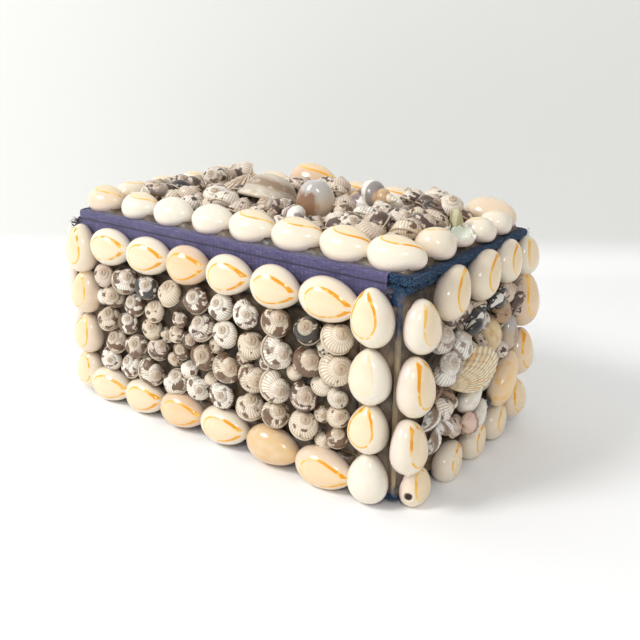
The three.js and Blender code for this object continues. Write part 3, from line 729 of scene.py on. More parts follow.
def ribbon_finish():
    """Purple woven ribbon, paler where it is rubbed, with painted shade along the crease and over its lower
    band on the wall.
    """
    m = Finish("ribbon_weave", rough=0.8, sheen=0.3)
    x, y, _ = m.split("local")
    shift = m.grain(500.0) * 0.5
    turn = 2 * math.pi
    warp = ((x + shift) * (turn / WARP_PITCH)).sine()
    weft = ((y + shift) * (turn / WEFT_PITCH)).sine()
    weave = warp * weft * 0.5 + 0.5
    m.start(weave.step(0.2, 0.8), (38, 34, 66), (92, 84, 136))
    thread = m.noise(m.join(x * 2.2, y * 0.5, 0.0), 1.0, 3.0, 0.7)
    m.paint(thread.step(0.5, 0.7) * 0.6, (116, 108, 152))
    streak = m.noise(m.join(x * 0.3, y * 2.6, 4.0), 1.0, 3.0, 0.6)
    m.paint(streak.step(0.5, 0.72) * 0.6, (134, 126, 168))
    m.paint(streak.step(0.45, 0.3) * 0.6, (30, 27, 52))
    ribs = ((x + shift) * (turn / RIB_PITCH)).sine()
    m.paint(ribs.step(0.0, 1.0, 0.0, 0.35), (40, 36, 66))
    m.paint(m.grain(60.0, 3.0).step(0.4, 0.7) * 0.25, (104, 98, 136))
    # Painted shade: the lower band of the ribbon, on the wall below the crease, is darkened
    m.paint(y.step(7.2, 9.4) * 0.5, (34, 32, 56))
    # Painted shade: a dark line along the crease
    m.paint(abs(y - CREASE_AT).step(0.5, 0.05) * 0.8, (20, 20, 34))
    m.bump(weave + m.grain(1500.0), 0.6, 0.00015)
    return m.done()


def thread_finish():
    """Loose ribbon threads, dark purple going grey."""
    m = Finish("loose_threads", rough=0.85, sheen=0.2)
    grain = m.grain(500.0)
    m.start(grain.step(0.35, 0.65), (38, 36, 56), (128, 122, 140))
    m.bump(grain, 0.3, 0.0001)
    return m.done()


def cloth_finish():
    """Dark blue napped cloth, dusty on its folds and stiff with glue here and there."""
    m = Finish("blue_nap", rough=0.95, sheen=0.12)
    m.shader["Sheen Roughness"].default_value = 0.4
    nap = m.grain(1300.0, 4.0, 0.7)
    m.start(nap.step(0.3, 0.75), (8, 24, 44), (24, 62, 104))
    m.paint(m.grain(110.0, 3.0).step(0.45, 0.75) * 0.5, (22, 38, 62))
    m.paint(m.grain(500.0, 3.0).step(0.62, 0.72) * 0.3, (112, 136, 158))
    m.bump(nap, 1.0, 0.0006)
    return m.done()


def board_finish():
    """Pasteboard soaked with glue, with the cloth's blue run into it below the rim and at the foot."""
    m = Finish("glued_board", rough=0.7)
    x, y, z = m.split(m.place)
    upright = m.join(x * 900.0, y * 900.0, z * 60.0)
    streak = m.noise(upright, 1.0, 3.0, 0.6)
    m.start(streak.step(0.3, 0.7), (120, 98, 72), (176, 156, 124))
    m.paint(m.grain(130.0, 3.0).step(0.42, 0.66) * 0.6, (126, 118, 104))
    height = z + (m.noise(upright, 0.7, 3.0) - 0.5) * 0.014
    blue = height.step(0.044, 0.05).most(height.step(0.006, 0.003))
    patchy = m.grain(420.0, 3.0).step(0.3, 0.6)
    m.paint(blue * (patchy * 0.4 + 0.6), (32, 60, 94))
    m.bump(streak + m.grain(900.0, 3.0), 0.6, 0.0004)
    return m.done()


WHITE, CREAM, TAN = (240, 236, 226), (232, 220, 200), (196, 164, 126)
GREY, BROWN = (150, 140, 136), (128, 96, 72)

materials = {
    "cowrie": cowrie_finish(),
    "lip": lip_finish(),
    "glue": glue_and_shade_finish(),
    "ribbon": ribbon_finish(),
    "thread": thread_finish(),
    "cloth": cloth_finish(),
    "board": board_finish(),
    "standing": standing_finish(),
    "black_banded": dark_banded(),
}
# Finish, its material's name, the seed of its grain, where its bands start, and their colours
for kind, name, seed, starts, colours in (
    (
        "banded",
        "banded_whelk",
        3.0,
        (0.2, 0.33, 0.52, 0.66, 0.86),
        (TAN, (136, 116, 120), WHITE, GREY, (206, 172, 132), CREAM),
    ),
    (
        "striped",
        "striped_whelk",
        5.0,
        (0.16, 0.24, 0.4, 0.47, 0.6, 0.67, 0.8, 0.86),
        (WHITE, GREY, WHITE, BROWN, WHITE, GREY, WHITE, BROWN, CREAM),
    ),
    (
        "pink_whelk",
        "pink_whelk",
        8.0,
        (0.3, 0.42, 0.62, 0.7),
        ((226, 196, 178), (168, 128, 112), (236, 220, 204), BROWN, CREAM),
    ),
):
    materials[kind] = banded_finish(name, seed, starts, colours)
# Finish, its material's name, the pale, middle and dark colours, and how far the flames swing
for kind, *values in (
    ("turban", "turban_shell", (250, 244, 232), (232, 217, 194), (104, 74, 50), 0.6),
    ("black_turban", "black_turban_shell", (240, 234, 222), (220, 206, 182), (30, 28, 28), 0.2),
    ("zigzag", "zigzag_shell", (244, 234, 220), (224, 206, 188), (72, 50, 38), 2.6),
    ("cone", "dotted_cone", (226, 206, 176), (180, 146, 112), (58, 42, 34), 2.8),
    ("white_turban", "white_turban_shell", (240, 236, 228), (222, 214, 204), (150, 132, 118), 0.4),
    ("dotted", "dotted_turban_shell", (236, 230, 218), (120, 100, 84), (34, 27, 26), 3.4),
):
    materials[kind] = turban_finish(*values)
# Finish, its material's name, the colours of ribs, furrows and rays, and the angle of all its growth rings
for kind, *values in (
    ("limpet", "ribbed_limpet", (222, 208, 186), (150, 124, 98), (166, 132, 100), 60.0),
    ("fan", "ribbed_fan", (246, 236, 208), (214, 188, 144), (232, 170, 92), 44.0),
    ("grey_fan", "grey_fan", (232, 226, 214), (166, 152, 136), (150, 128, 110), 50.0),
    ("brown_shard", "brown_shard", (140, 108, 82), (74, 54, 42), (176, 146, 116), 40.0),
    ("shard", "pale_shard", (240, 236, 228), (150, 126, 106), (86, 66, 54), 30.0),
):
    materials[kind] = ray_finish(*values)
# Finish, its material's name, the colours low, high and of the spots, roughness and coat
for kind, *values in (
    # The bead hole's floor is near-black painted shade for the inside of the hole
    ("hole", "bead_hole", (30, 22, 16), (44, 34, 26), (24, 18, 14), 0.7, 0.0),
    ("clam", "tan_clam", (196, 176, 146), (222, 196, 150), (202, 164, 110), 0.4, 0.1),
    ("peach", "peach_shell", (236, 214, 188), (244, 212, 166), (246, 196, 120)),
    ("bowl", "open_bowl", (150, 126, 102), (196, 182, 164), (216, 206, 192), 0.4, 0.1),
    ("inside", "pale_inside", (232, 234, 222), (214, 220, 204), (242, 242, 234), 0.2),
    ("fuzz", "cloth_fuzz", (46, 84, 122), (96, 132, 160), (20, 46, 80), 0.9, 0.0),
    ("white_body", "white_body", (206, 198, 184), (238, 232, 220), (214, 202, 184), 0.3),
    ("lip_pale", "pale_lip", (206, 196, 178), (238, 228, 208), (198, 176, 144), 0.3),
    ("olive", "olive_shard", (170, 162, 124), (206, 200, 166), (150, 142, 104), 0.4, 0.1),
):
    materials[kind] = plain_shell(*values)


# The shells on their panels


def tones(seed):
    return np.random.default_rng(seed).uniform(0, 1, 3)


def drill(panel, place, world):
    """Sinks a bead hole into the shell's side towards -u. Gives the points and the hole's dark floor, a
    near-black disc of painted shade for the inside of the hole.
    """
    flat = panel.flat(world)
    u, v, lift, height = place["u"], place["v"], place["lift"], place["height"]
    side = u - 0.4 * place["width"] * COWRIE_SPREAD
    target = np.array([side, v - 0.12 * place["length"], lift + 0.5 * height])
    inward = np.array([u, target[1], lift + 0.1 * height]) - target
    inward /= np.linalg.norm(inward)
    offset = flat - target
    ahead = offset @ inward
    away = np.linalg.norm(offset - ahead[:, None] * inward, axis=1)
    near = np.clip(1.5 - away / HOLE_RADIUS, 0, 1) * (ahead < HOLE_REACH)
    sunk = flat + (HOLE_DEPTH * (near * near * (3 - 2 * near)))[:, None] * inward
    aside = np.cross(inward, [0, 1, 0])
    aside /= np.linalg.norm(aside)
    over = np.cross(inward, aside)
    edge_at = flat[np.argmin(away + 9 * (ahead > HOLE_REACH))] @ inward
    middle = target + (edge_at - target @ inward + 0.35) * inward
    angle = round_angles(HOLE_SIDES)
    rim = middle + HOLE_RADIUS * 0.95 * (np.cos(angle)[:, None] * aside + np.sin(angle)[:, None] * over)
    return panel.world(sunk), panel.world(np.vstack([rim, middle + 0.4 * inward]))


def add_cowrie(heap, panel, place, tone, ring_shift, stop):
    """One cowrie. stop is (axis, sign, edge): the shell is set back behind that edge."""
    seed = int(abs(place["u"] * 31 + place["v"] * 17 + panel.origin[0] * 3 + panel.origin[1]))
    drilled = "drilled" in place
    fine = {"rows": 45, "columns": 120} if drilled else {}
    width = place["width"] * COWRIE_SPREAD
    points, faces, local = cowrie(place["length"], width, place["height"], seed, **fine)
    if ring_shift:
        shift, (toward_u, toward_v) = ring_shift
        facing = toward_u * math.sin(place["turn"]) - toward_v * math.cos(place["turn"])
        local[:, 1] = local[:, 1] * (1 if facing > 0 else -1) - shift
    world = placed(panel, place, points)
    if drilled:
        world, floor = drill(panel, place, world)
        # The near-black floor paints the shade inside the hole
        heap.add(floor, [cap(0, HOLE_SIDES, HOLE_SIDES)], floor, tone, "hole")
    if stop:
        axis, sign, edge = stop
        world[:, axis] -= sign * max((sign * world[:, axis]).max() - sign * edge, 0)
    heap.add(world, faces, local, tone, "cowrie")


def add_turban(heap, panel, place, kind, seed):
    points, faces, local, rim, rim_faces, rim_local = turban(place["size"], place["lean"], seed)
    heap.add(placed(panel, place, points), faces, local, tones(seed), kind)
    heap.add(placed(panel, place, rim), rim_faces, rim_local, tones(seed), "lip")


def add_glue(heap, panel, low, high, places):
    """A lumpy sheet of glue, drawn up round the foot of each shell."""
    columns, rows = (np.ceil((high - low) / GLUE_PITCH).astype(int) + 1).tolist()
    u, v = np.meshgrid(np.linspace(low[0], high[0], columns), np.linspace(low[1], high[1], rows))
    rise = np.zeros_like(u)
    for p in places:
        half = (p["size"] * 0.46,) * 2 if "size" in p else (p["length"] * 0.45, p["width"] * 0.45)
        x, y = rotated(u - p["u"], v - p["v"], -p["turn"])
        away = np.sqrt((x / half[0]) ** 2 + (y / half[1]) ** 2) - 0.92
        rise = np.maximum(rise, np.exp(-((np.clip(away, 0, None) / 0.2) ** 2)))
    spots = gathered(u, v, panel.origin[0] + panel.origin[1])
    lumps = waves(spots, 4.0, 3).reshape(u.shape) * 0.35 + waves(spots, 1.7, 5).reshape(u.shape) * 0.16
    z = GLUE_TOP + lumps + 0.75 * rise
    z[0, :] = z[-1, :] = z[:, 0] = z[:, -1] = 0.04
    points = gathered(u, v, z)
    heap.add(panel.world(points), [net(rows, columns, wrap=False)], points * 0.1, EVEN_TONE, "glue")


# The cowries seen in the photograph, in order along each row: how far each lies off its even place
# along u and v, its hue, the strength of its ring, and a number of its own for the pattern
SEEN_SHELLS = {
    "front_top_row": [
        (1.0, 1.2, 0.2, 0.9, 0.3),
        (1.4, 1.1, 0.25, 0.85, 0.12),
        (1.3, 1.5, 0.7, 1.0, 0.5),
        (1.8, 1.5, 0.3, 1.0, 0.8),
        (2.0, 1.1, 0.35, 1.0, 0.61),
        (2.6, 0.9, 0.45, 1.0, 0.93),
    ],
    "front_bottom_row": [
        (-4.6, 0.5, 0.3, 0.95, 0.2),
        (-4.2, 0.9, 0.35, 0.8, 0.4),
        (-3.0, 1.2, 0.7, 0.8, 0.7),
        (-1.7, 1.5, 0.3, 0.9, 0.55),
        (0.2, 1.1, 0.95, 0.15, 0.25),
        (1.2, 0.2, 0.6, 0.9, 0.85),
    ],
    "front_left_column": [
        (-1.6, 2.4, 0.5, 0.9, 0.3),
        (-0.9, 1.4, 0.55, 0.9, 0.6),
        (0.2, 1.4, 0.6, 0.8, 0.1),
        (-0.2, -0.2, 0.4, 0.9, 0.9),
    ],
    "front_right_column": [
        (0.2, 0.8, 0.05, 0.1, 0.2),
        (0.0, 0.7, 0.3, 1.0, 0.45),
        (0.0, 0.2, 0.1, 0.25, 0.7),
        (0.2, 0.3, 0.25, 1.0, 0.05),
    ],
    "right_left_column": [
        (2.0, -0.4, 0.5, 0.6, 0.35),
        (-1.9, -1.3, 0.2, 1.0, 0.66),
        (0.2, -1.8, 0.3, 0.95, 0.15),
        (1.2, -2.4, 0.15, 0.5, 0.9),
    ],
    "right_top_row": [(0.3, 0.3, 0.5, 1.0, 0.2), (1.2, 1.2, 0.42, 1.0, 0.7), (0.9, 1.7, 0.3, 0.95, 0.5)],
    "right_bottom_row": [(4.6, -0.4, 0.25, 1.0, 0.3), (3.4, 0.0, 0.3, 1.0, 0.9), (1.5, 0.9, 0.35, 0.9, 0.6)],
    "right_right_column": [
        (0.0, 3.0, 0.55, 0.8, 0.3),
        (1.8, 3.0, 0.6, 0.9, 0.8),
        (0.8, 3.8, 0.65, 0.7, 0.2),
        (1.5, 1.8, 0.2, 0.5, 0.7),
    ],
    "lid_right_row": [(-0.6, 2.2, 0.3, 1.0, 0.4), (0.2, 3.4, 0.2, 1.0, 0.1), (-0.2, 4.6, 0.1, 0.4, 0.6)],
    "lid_front_row": [
        (0.4, 1.0, 0.6, 0.8, 0.2),
        (3.0, -0.6, 0.1, 0.6, 0.5),
        (3.6, -0.9, 0.05, 0.1, 0.8),
        (5.0, -1.6, 0.05, 0.15, 0.3),
        (4.6, -1.6, 0.2, 0.9, 0.6),
        (3.9, -1.2, 0.25, 1.0, 0.1),
        (3.2, -1.7, 0.3, 1.0, 0.4),
        (1.5, -0.8, 0.2, 1.0, 0.72),
    ],
}
# Factors of length, width and height, a turn and an outward roll in degrees, for rows with uneven shells
ROW_SHAPES = {
    "front_bottom_row": (1.09, 1.0, 1.0, 0, 0),
    "right_top_row": (0.94, 1.02, 1.0, 52, 0),
    "right_bottom_row": (0.82, 0.88, 0.9, 42, 0),
    "lid_front_row": (1.0, 0.93, 1.0, 0, 18),
    "lid_right_row": (1.1, 1.1, 1.32, 0, 0),
    "lid_back_row": (1.0, 1.0, 0.86, 0, 0),
}
# How far the ring lies off the middle of the back, and towards which u and v
RING_SHIFTS = {
    "lid_front_row": (0.28, (0, -1)),
    "lid_right_row": (0.15, (1, 0)),
    "right_top_row": (-0.05, (-1, 0)),
    "right_bottom_row": (-0.05, (-1, 0)),
}
# Rows that meet over the ribbon when the lid is open: axis and sign of the edge of the CAD row
MEETING_ROWS = {"front_top_row": (2, 1), "lid_front_row": (1, -1)}


def cowrie_row(side, part):
    name, panel = f"{side}_{part}", PANELS[side]
    places = cowrie_places(panel, name)
    low, high = bed_bounds(panel, name)
    if side == "lid":
        low = np.maximum(low, [-LID_BED, -LID_BED_SIDE])
        high = np.minimum(high, [LID_BED + 1, LID_BED_SIDE])
    upright = high[1] - low[1] > high[0] - low[0]
    order = np.argsort([place["v" if upright else "u"] for place in places])
    shades = np.random.default_rng(sum(map(ord, name))).uniform(0, 1, (len(places), 3))
    shades[:, 1] = np.where(shades[:, 1] < 0.2, 0.1, 0.75 + 0.25 * shades[:, 1])
    shades[:, 0] *= 0.75
    for k, (du, dv, *seen) in zip(order, SEEN_SHELLS.get(name, [])):
        places[k]["u"] += du
        places[k]["v"] += dv
        shades[k] = seen
    *factors, turn, roll = ROW_SHAPES.get(name, (1.0, 1.0, 1.0, 0, 0))
    for place in places:
        for key, factor in zip(("length", "width", "height"), factors):
            place[key] *= factor
        place["turn"] += math.radians(turn)
        place["roll"] = math.radians(roll)
        if name == "lid_back_row" and place["length"] > LARGE_COWRIE:
            place["height"] *= LARGE_COWRIE_RISE
    if name == "right_left_column":
        places[order[0]]["drilled"] = True
    stop = None
    if name in MEETING_ROWS:
        axis, sign = MEETING_ROWS[name]
        stop = (axis, sign, box_mm(name)[sign > 0][axis])
    heap = Heap()
    add_glue(heap, panel, low, high, places)
    for place, tone in zip(places, shades):
        add_cowrie(heap, panel, place, tone, RING_SHIFTS.get(name), stop)
    heap.build(f"{name}_shells", BODIES[side], name, slot="cowrie")


for side in ("front", "back", "right", "left"):
    for part in ("left_column", "right_column", "bottom_row", "top_row"):
        cowrie_row(side, part)
for part in ("front_row", "back_row", "left_row", "right_row"):
    cowrie_row("lid", part)


def clear_of(u, v, zones):
    return all(math.hypot(u - x, v - y) > reach for x, y, reach in zones)


def fill_gaps(places, low, high, away, seed):
    """Small shells in the gaps that the even strings leave."""
    local_rng = np.random.default_rng(seed)
    taken = [(p["u"], p["v"], p["size"] * TURBAN_SPREAD / 2) for p in places] + list(away)
    across = np.arange(low[0] + 2, high[0] - 1.9, FILL_STEP)
    up = np.arange(low[1] + 2, high[1] - 1, FILL_STEP)
    grid = [(u, v) for u in across for v in up]
    local_rng.shuffle(grid)
    extra = []
    for reach in (1.0, 0.86, 0.74):
        half = FILL_SIZE * reach / 2
        for u, v in grid:
            if clear_of(u, v, ((x, y, 0.9 * (half + r)) for x, y, r in taken)):
                taken.append((u, v, half))
                place = dict(u=u, v=v, lift=SEAT - 0.4, turn=0.0, size=2 * half / TURBAN_SPREAD)
                extra.append(dict(place, lean=local_rng.uniform(0.3, 1.4)))
    return extra


def turban_field(side, name, kinds, away=()):
    """The small shells of a field, but for those under a larger shell. kinds are (share, finish)."""
    panel = PANELS[side]
    places = [p for p in turban_places(panel, name) if clear_of(p["u"], p["v"], away)]
    low, high = bed_bounds(panel, name)
    places += fill_gaps(places, low, high, away, len(name))
    heap = Heap()
    add_glue(heap, panel, low, high, places)
    for k, place in enumerate(places):
        seed = 1000 + 37 * k + len(name)
        chance = np.random.default_rng(seed + 5).uniform()
        kind = next(stuff for share, stuff in kinds if chance <= share)
        off_black = abs(np.array([place["u"], place["v"]]) - BLACK_TURBAN_AT)
        if name == "front_turban_field" and (off_black < 4.5).all():
            kind = "black_turban"
        add_turban(heap, panel, place, kind, seed)
    return heap


FRONT_KINDS = ((0.82, "turban"), (0.9, "black_turban"), (1.0, "zigzag"))
LID_KINDS = ((0.3, "turban"), (0.36, "black_turban"), (1.0, "zigzag"))
for side in ("front", "back"):
    name = f"{side}_turban_field"
    turban_field(side, name, FRONT_KINDS).build(f"{side}_turbans", "box", name, slot="turban")


def tipped(shape, degrees, pinch=0.0):
    """A shape with its +x end raised, and its sides drawn in towards that end."""
    points, faces, local = shape
    x, y, z = points.T
    half = x.max()
    side = y * (1 - pinch * (x / half + 1) / 2)
    angle = math.radians(degrees)
    x, z = rotated(x, z, angle)
    return gathered(x, side, z + half * math.sin(angle)), faces, local


def single(name, share, turn, over, shape, stuff, slot, more=()):
    """One large shell in place of its CAD node, at a share of its side's field, and any more pieces of it."""
    side = name.split("_")[0]
    low, high = bed_bounds(PANELS[side], FIELDS[side])
    u, v = low + (high - low) * np.array(share)
    place = dict(u=u, v=v, lift=LARGE_SEAT + over, turn=math.radians(turn))
    heap = Heap()
    for points, faces, more_stuff in more:
        heap.add(placed(PANELS[side], place, points), faces, points * 0.1, tones(9), more_stuff)
    points, faces, local = shape
    heap.add(placed(PANELS[side], place, points), faces, local, tones(len(name)), stuff)
    heap.build(f"{name}_shell", BODIES[side], name, slot=slot)


def bowl(length, width, height, wall, tilt):
    """A domed half shell lying hollow side down, tilted so that its front edge is off the bed."""
    rows, columns = 16, 64
    angle = round_angles(columns)[None, :]
    lat = np.linspace(0, math.pi / 2 - 0.04, rows)[:, None]
    skins = []
    for inset, level in ((wall, lat[::-1]), (0, lat)):
        wave = 1 + 0.012 * np.sin(level * 34) * (inset == 0)
        x = (length / 2 - inset) * np.cos(level) ** 0.8 * np.cos(angle) * wave
        y = (width / 2 - inset) * np.cos(level) ** 0.8 * np.sin(angle) * wave
        skins.append(gathered(x, y, (height - inset) * np.sin(level)))
    points = np.concatenate(skins)
    local = points / [length / 2, width / 2, height]
    local[:, 2] = 0.5 + 0.5 * np.sin(local[:, 2] * 9)
    x, y, z = points.T
    return gathered(x, *rotated(y, z, math.radians(-tilt))), [net(2 * rows, columns)], local


def tube_along(centres, radii, sides=10):
    """A flattened tube through the centres."""
    tangent = np.gradient(centres, axis=0)
    tangent /= np.linalg.norm(tangent, axis=1)[:, None]
    aside = np.cross(tangent, [0, 0, 1])
    aside /= np.linalg.norm(aside, axis=1)[:, None]
    over = np.cross(aside, tangent)
    angle = round_angles(sides)[None, :, None]
    ring = np.cos(angle) * aside[:, None] + 0.55 * np.sin(angle) * over[:, None]
    points = centres[:, None] + radii[:, None, None] * ring
    return points.reshape(-1, 3), [net(len(centres), sides)]


def bowl_lip(length, width, tilt):
    """The thick pale lip along the raised front edge of the bowl."""
    angle = np.radians(np.linspace(196, 344, 60))
    y, z = rotated((width / 2 - 0.6) * np.sin(angle), 0, math.radians(-tilt))
    centres = gathered((length / 2 - 0.6) * np.cos(angle), y, z + 0.2)
    return tube_along(centres, 0.1 + 1.9 * np.sin(np.linspace(0, math.pi, 60)) ** 0.7)


def thin_edge():
    """A thin scalloped shell edge standing beyond the bowl."""
    across, up = np.meshgrid(np.linspace(-1, 1, 40), np.linspace(0, 1, 12))
    scallop = 0.08 * np.abs(np.sin(across * 9))
    z = up * (8.6 - 2.4 * across**2 - scallop * 9) - 1
    points = gathered(13.5 + across * 3.4 + up * 1.4, 5.6 + 1.2 * across**2 + 0 * up, z)
    return points, [net(12, 40, wrap=False)]


def standing(width, tall, depth):
    """An egg-shaped shell on its edge, its back towards the front."""
    points, faces, local = cowrie(tall, width, depth, 4)
    up, across, out = points.T
    return gathered(across, depth / 2 - out, up - up.min()), faces, local


def broken_cowrie(length, width, height):
    """A cowrie with its back broken away to a jagged rim, so that its pale hollow shows."""
    rows, columns = 9, 60
    angle = round_angles(columns)
    jag = 0.5 + 0.12 * np.sin(angle * 3 + 1) + 0.09 * np.sin(angle * 7 + 2) + 0.06 * np.sin(angle * 13)
    jag = jag + 0.16 * np.sin(angle)
    rings = []
    for inset, rise in ((0.0, np.linspace(0, 1, rows)), (0.9, np.linspace(1, 0.1, rows))):
        for share in rise:
            level = share * jag
            reach = np.sqrt(np.clip(1 - ((level - BELLY) / 0.66) ** 2, 0.05, 1))
            x = (length / 2 - inset) * np.cos(angle) * reach
            y = (width / 2 - inset) * np.sin(angle) * (1 - COWRIE_TAPER * np.cos(angle)) * reach
            rings.append(gathered(x, y, level * height + (0.3 if inset else 0) * (1 - share)))
    points = np.concatenate(rings)
    points = np.vstack([points, points[-columns:].mean(axis=0)])
    inner = net(rows + 1, columns) + (rows - 1) * columns
    floor = cap((2 * rows - 1) * columns, columns, 2 * rows * columns)
    return points, net(rows, columns), [inner, floor], points / [length / 2, width / 2, height]


# Name, share across and up the field, turn in degrees, height over the bed, shape and finish
for name, *values in (
    ("right_fan_shell", (0.4, 0.51), 16, 0.4, tipped(fan(19, 15.5, 5.4, 15, 0.03, 100, 3.4), 18), "fan"),
    ("right_clam_shell", (0.68, 0.64), -58, 0.4, tipped(cowrie(15.5, 11, 6, 21), -8, 0.34), "clam"),
    ("right_peach_shell", (0.87, 0.25), 60, 0.4, tipped(cowrie(18.5, 10, 6.8, 22), 4, 0.3), "peach"),
    ("right_cone_shell", (0.4, 0.9), 20, 3.6, whelk(14, 3.7, 3, fall=0.72), "black_banded"),
    ("right_whelk", (0.42, 0.09), -14, 3.9, whelk(12.5, 4.1, 4, ribs=0.05), "pink_whelk"),
    ("left_fan_shell", (0.5, 0.5), 90, 0, fan(18, 14, 5.4, 8, 0.07, 105, 3.4), "fan"),
):
    single(name, *values, "mosaic_shell")
heap = turban_field("left", "left_mosaic_bed", LID_KINDS)
heap.build("left_mosaic", "box", "left_mosaic_bed", slot="turban")

lip_edge = [(*bowl_lip(21.6, 17.6, 27), "lip_pale"), (*thin_edge(), "grey_fan")]
for values in (
    ("lid_limpet", (0.21, 0.58), 8, 0, limpet(10.4, 8.6, 9.2, 17, (5.4, 2.4)), "limpet", "brown_shell"),
    ("lid_open_shell", (0.42, 0.42), -8, 3.4, bowl(21, 17, 9.0, 1.1, 27), "bowl", "brown_shell", lip_edge),
    ("lid_standing_shell", (0.62, 0.34), 22, 0, standing(12.6, 14.2, 6.6), "standing", "grey_shell"),
    ("lid_banded_whelk", (0.7, 0.76), -14, 7.0, whelk(22, 6.0, 6), "banded", "grey_shell"),
    ("lid_striped_whelk", (0.62, 0.13), 160, 4, whelk(17, 4.5, 7, ribs=0.04), "striped", "grey_shell"),
):
    single(*values)
heap = turban_field("lid", "lid_turban_field", LID_KINDS)
heap.build("lid_turbans", "lid", "lid_turban_field", slot="turban")

# A second layer of small shells over the lid's field, clear of the large shells (u, v, reach)
lid = PANELS["lid"]
low, high = bed_bounds(lid, "lid_turban_field")
second_rng = np.random.default_rng(77)
large = [(-28, 20, 11), (-17, 20, 9), (-32, 4, 10), (-7, -4, 12), (-3, -14, 7), (13, -6, 8.5)]
large += [(24, 12, 10.5), (16, -17, 8), (62, -4, 6)]
laid = []
for _ in range(2400):
    u, v = second_rng.uniform(low[0] + 2, high[0] - 2), second_rng.uniform(low[1] + 3, high[1] + 0.5)
    if len(laid) < UPPER_TURBANS and clear_of(u, v, large + laid):
        laid.append((u, v, second_rng.uniform(5.6, 7.6)))
heap = Heap()
for k, (u, v, size) in enumerate(laid):
    lift = SEAT + 3.2 + 1.6 * (v > 8)
    place = dict(u=u, v=v, lift=lift, turn=0.0, size=size, lean=second_rng.uniform(0, 6.3))
    add_turban(heap, lid, place, "dotted" if k == 3 else ("zigzag" if k % 3 else "turban"), 700 + k)
add_turban(heap, lid, dict(u=46.0, v=11.0, lift=SEAT + 2.6, turn=0.0, size=8.4, lean=0.5), "dotted", 811)
heap.build("lid_upper_turbans", "lid")

# The broken cowrie in the lid's right row, and a shard of olive shell behind it
broken_low, broken_high = box_mm("lid_broken_cowrie")
middle = lid.flat([(broken_low + broken_high) / 2])[0]
place = dict(u=middle[0] - 0.4, v=middle[1] + 2.4, lift=LARGE_SEAT, turn=math.radians(90))
points, outer, hollow, local = broken_cowrie(11.4, 9.1, 6.2)
world = placed(lid, place, points)
shard, shard_faces, shard_local = fan(9.5, 5.4, 1.2, 1, 0.02, 70, 2.0)
upright = gathered(shard[:, 1] * 0.9 - 3.5, 6.2 - shard[:, 2] - 2, shard[:, 0] + 4.0)
heap = Heap()
heap.add(placed(lid, dict(place, turn=0.0), upright), shard_faces, shard_local, (0.3, 0.3, 0.3), "olive")
heap.add(world, [outer], local, (0.15, 0.0, 0.4), "cowrie")
heap.add(world, hollow, local, (0.15, 0.0, 0.4), "inside")
heap.build("lid_broken_cowrie_shell", "lid", "lid_broken_cowrie", slot="cowrie")

# The small pieces of the photographed end's mosaic: u, v, kind, size, turn in degrees and lift
EXTRAS = [
    (8.5, 49.0, "black_banded", 11.5, 28, 2.6),
    (12.5, 43.6, "dotted", 9.6, 50, 1.6),
    (-21.0, 44.5, "white_turban", 8.2, 60, 1.6),
    (-13.0, 40.5, "white_turban", 9.2, 20, 2.6),
    (-19.5, 36.0, "white_turban", 10.0, 70, 2.2),
    (23.5, 46.0, "zigzag", 11.5, 65, 2.4),
    (17.0, 48.4, "zigzag_turban", 7.6, 30, 2.4),
    (27.0, 40.5, "zigzag", 9.5, -35, 1.6),
    (23.5, 34.0, "standing", 12.0, 80, 1.6),
    (-14.5, 26.0, "brown_shard", 9.5, -35, 2.0),
    (-20.0, 28.5, "brown_shard", 8.0, 40, 1.4),
    (-1.0, 21.0, "white_body", 13.0, 25, 1.8),
    (11.0, 21.0, "grey_fan", 8.0, 80, 1.4),
    (11.5, 13.0, "black_banded", 7.0, -70, 1.4),
    (6.0, 12.6, "white_body", 9.5, 62, 2.4),
    (-22.5, 21.5, "shard", 9.5, 35, 2.2),
    (-15.5, 17.0, "shard", 10.5, -50, 2.6),
    (-20.0, 13.5, "shard", 9.0, 75, 2.0),
    (-11.5, 21.5, "shard", 8.0, 10, 2.0),
    (-10.0, 33.5, "zigzag_turban", 6.4, 0, 1.2),
    (4.0, 43.0, "white_turban", 6.6, 110, 1.2),
    (19.5, 29.0, "zigzag_turban", 6.6, 10, 1.2),
]
TURBANS = {"white_turban": "white_turban", "zigzag_turban": "zigzag", "dotted": "cone"}


def extra_shape(kind, size, k):
    """The shape and the finish of a small piece of the mosaic, and how far its middle lies over its foot."""
    if kind in TURBANS:
        return turban(size / TURBAN_SPREAD, 0.9, 200 + k)[:3], TURBANS[kind], 0
    if kind == "grey_fan":
        return fan(size, size * 0.85, size * 0.36, 6, 0.09, 100, size * 0.3), kind, 0
    if kind in ("brown_shard", "shard"):
        return fan(size, size * 0.55, size * 0.36, 2, 0.09, 100, size * 0.3), kind, 0
    if kind in ("standing", "white_body"):
        return cowrie(size, size * 0.56, size * 0.42, 40 + k), kind, 0
    return whelk(size, size * 0.3, 40 + k, ribs=0.04), kind, size * 0.27


away = [(u, v, size * 0.4) for u, v, _, size, _, _ in EXTRAS]
heap = turban_field("right", "right_mosaic_bed", LID_KINDS, away)
for k, (u, v, kind, size, turn, lift) in enumerate(EXTRAS):
    (points, faces, local), stuff, middle = extra_shape(kind, size, k)
    place = dict(u=u, v=v, lift=lift + middle, turn=math.radians(turn))
    heap.add(placed(PANELS["right"], place, points), faces, local, tones(50 + k), stuff)
heap.build("right_mosaic", "box", "right_mosaic_bed", slot="turban")


# Cloth, board and ribbon


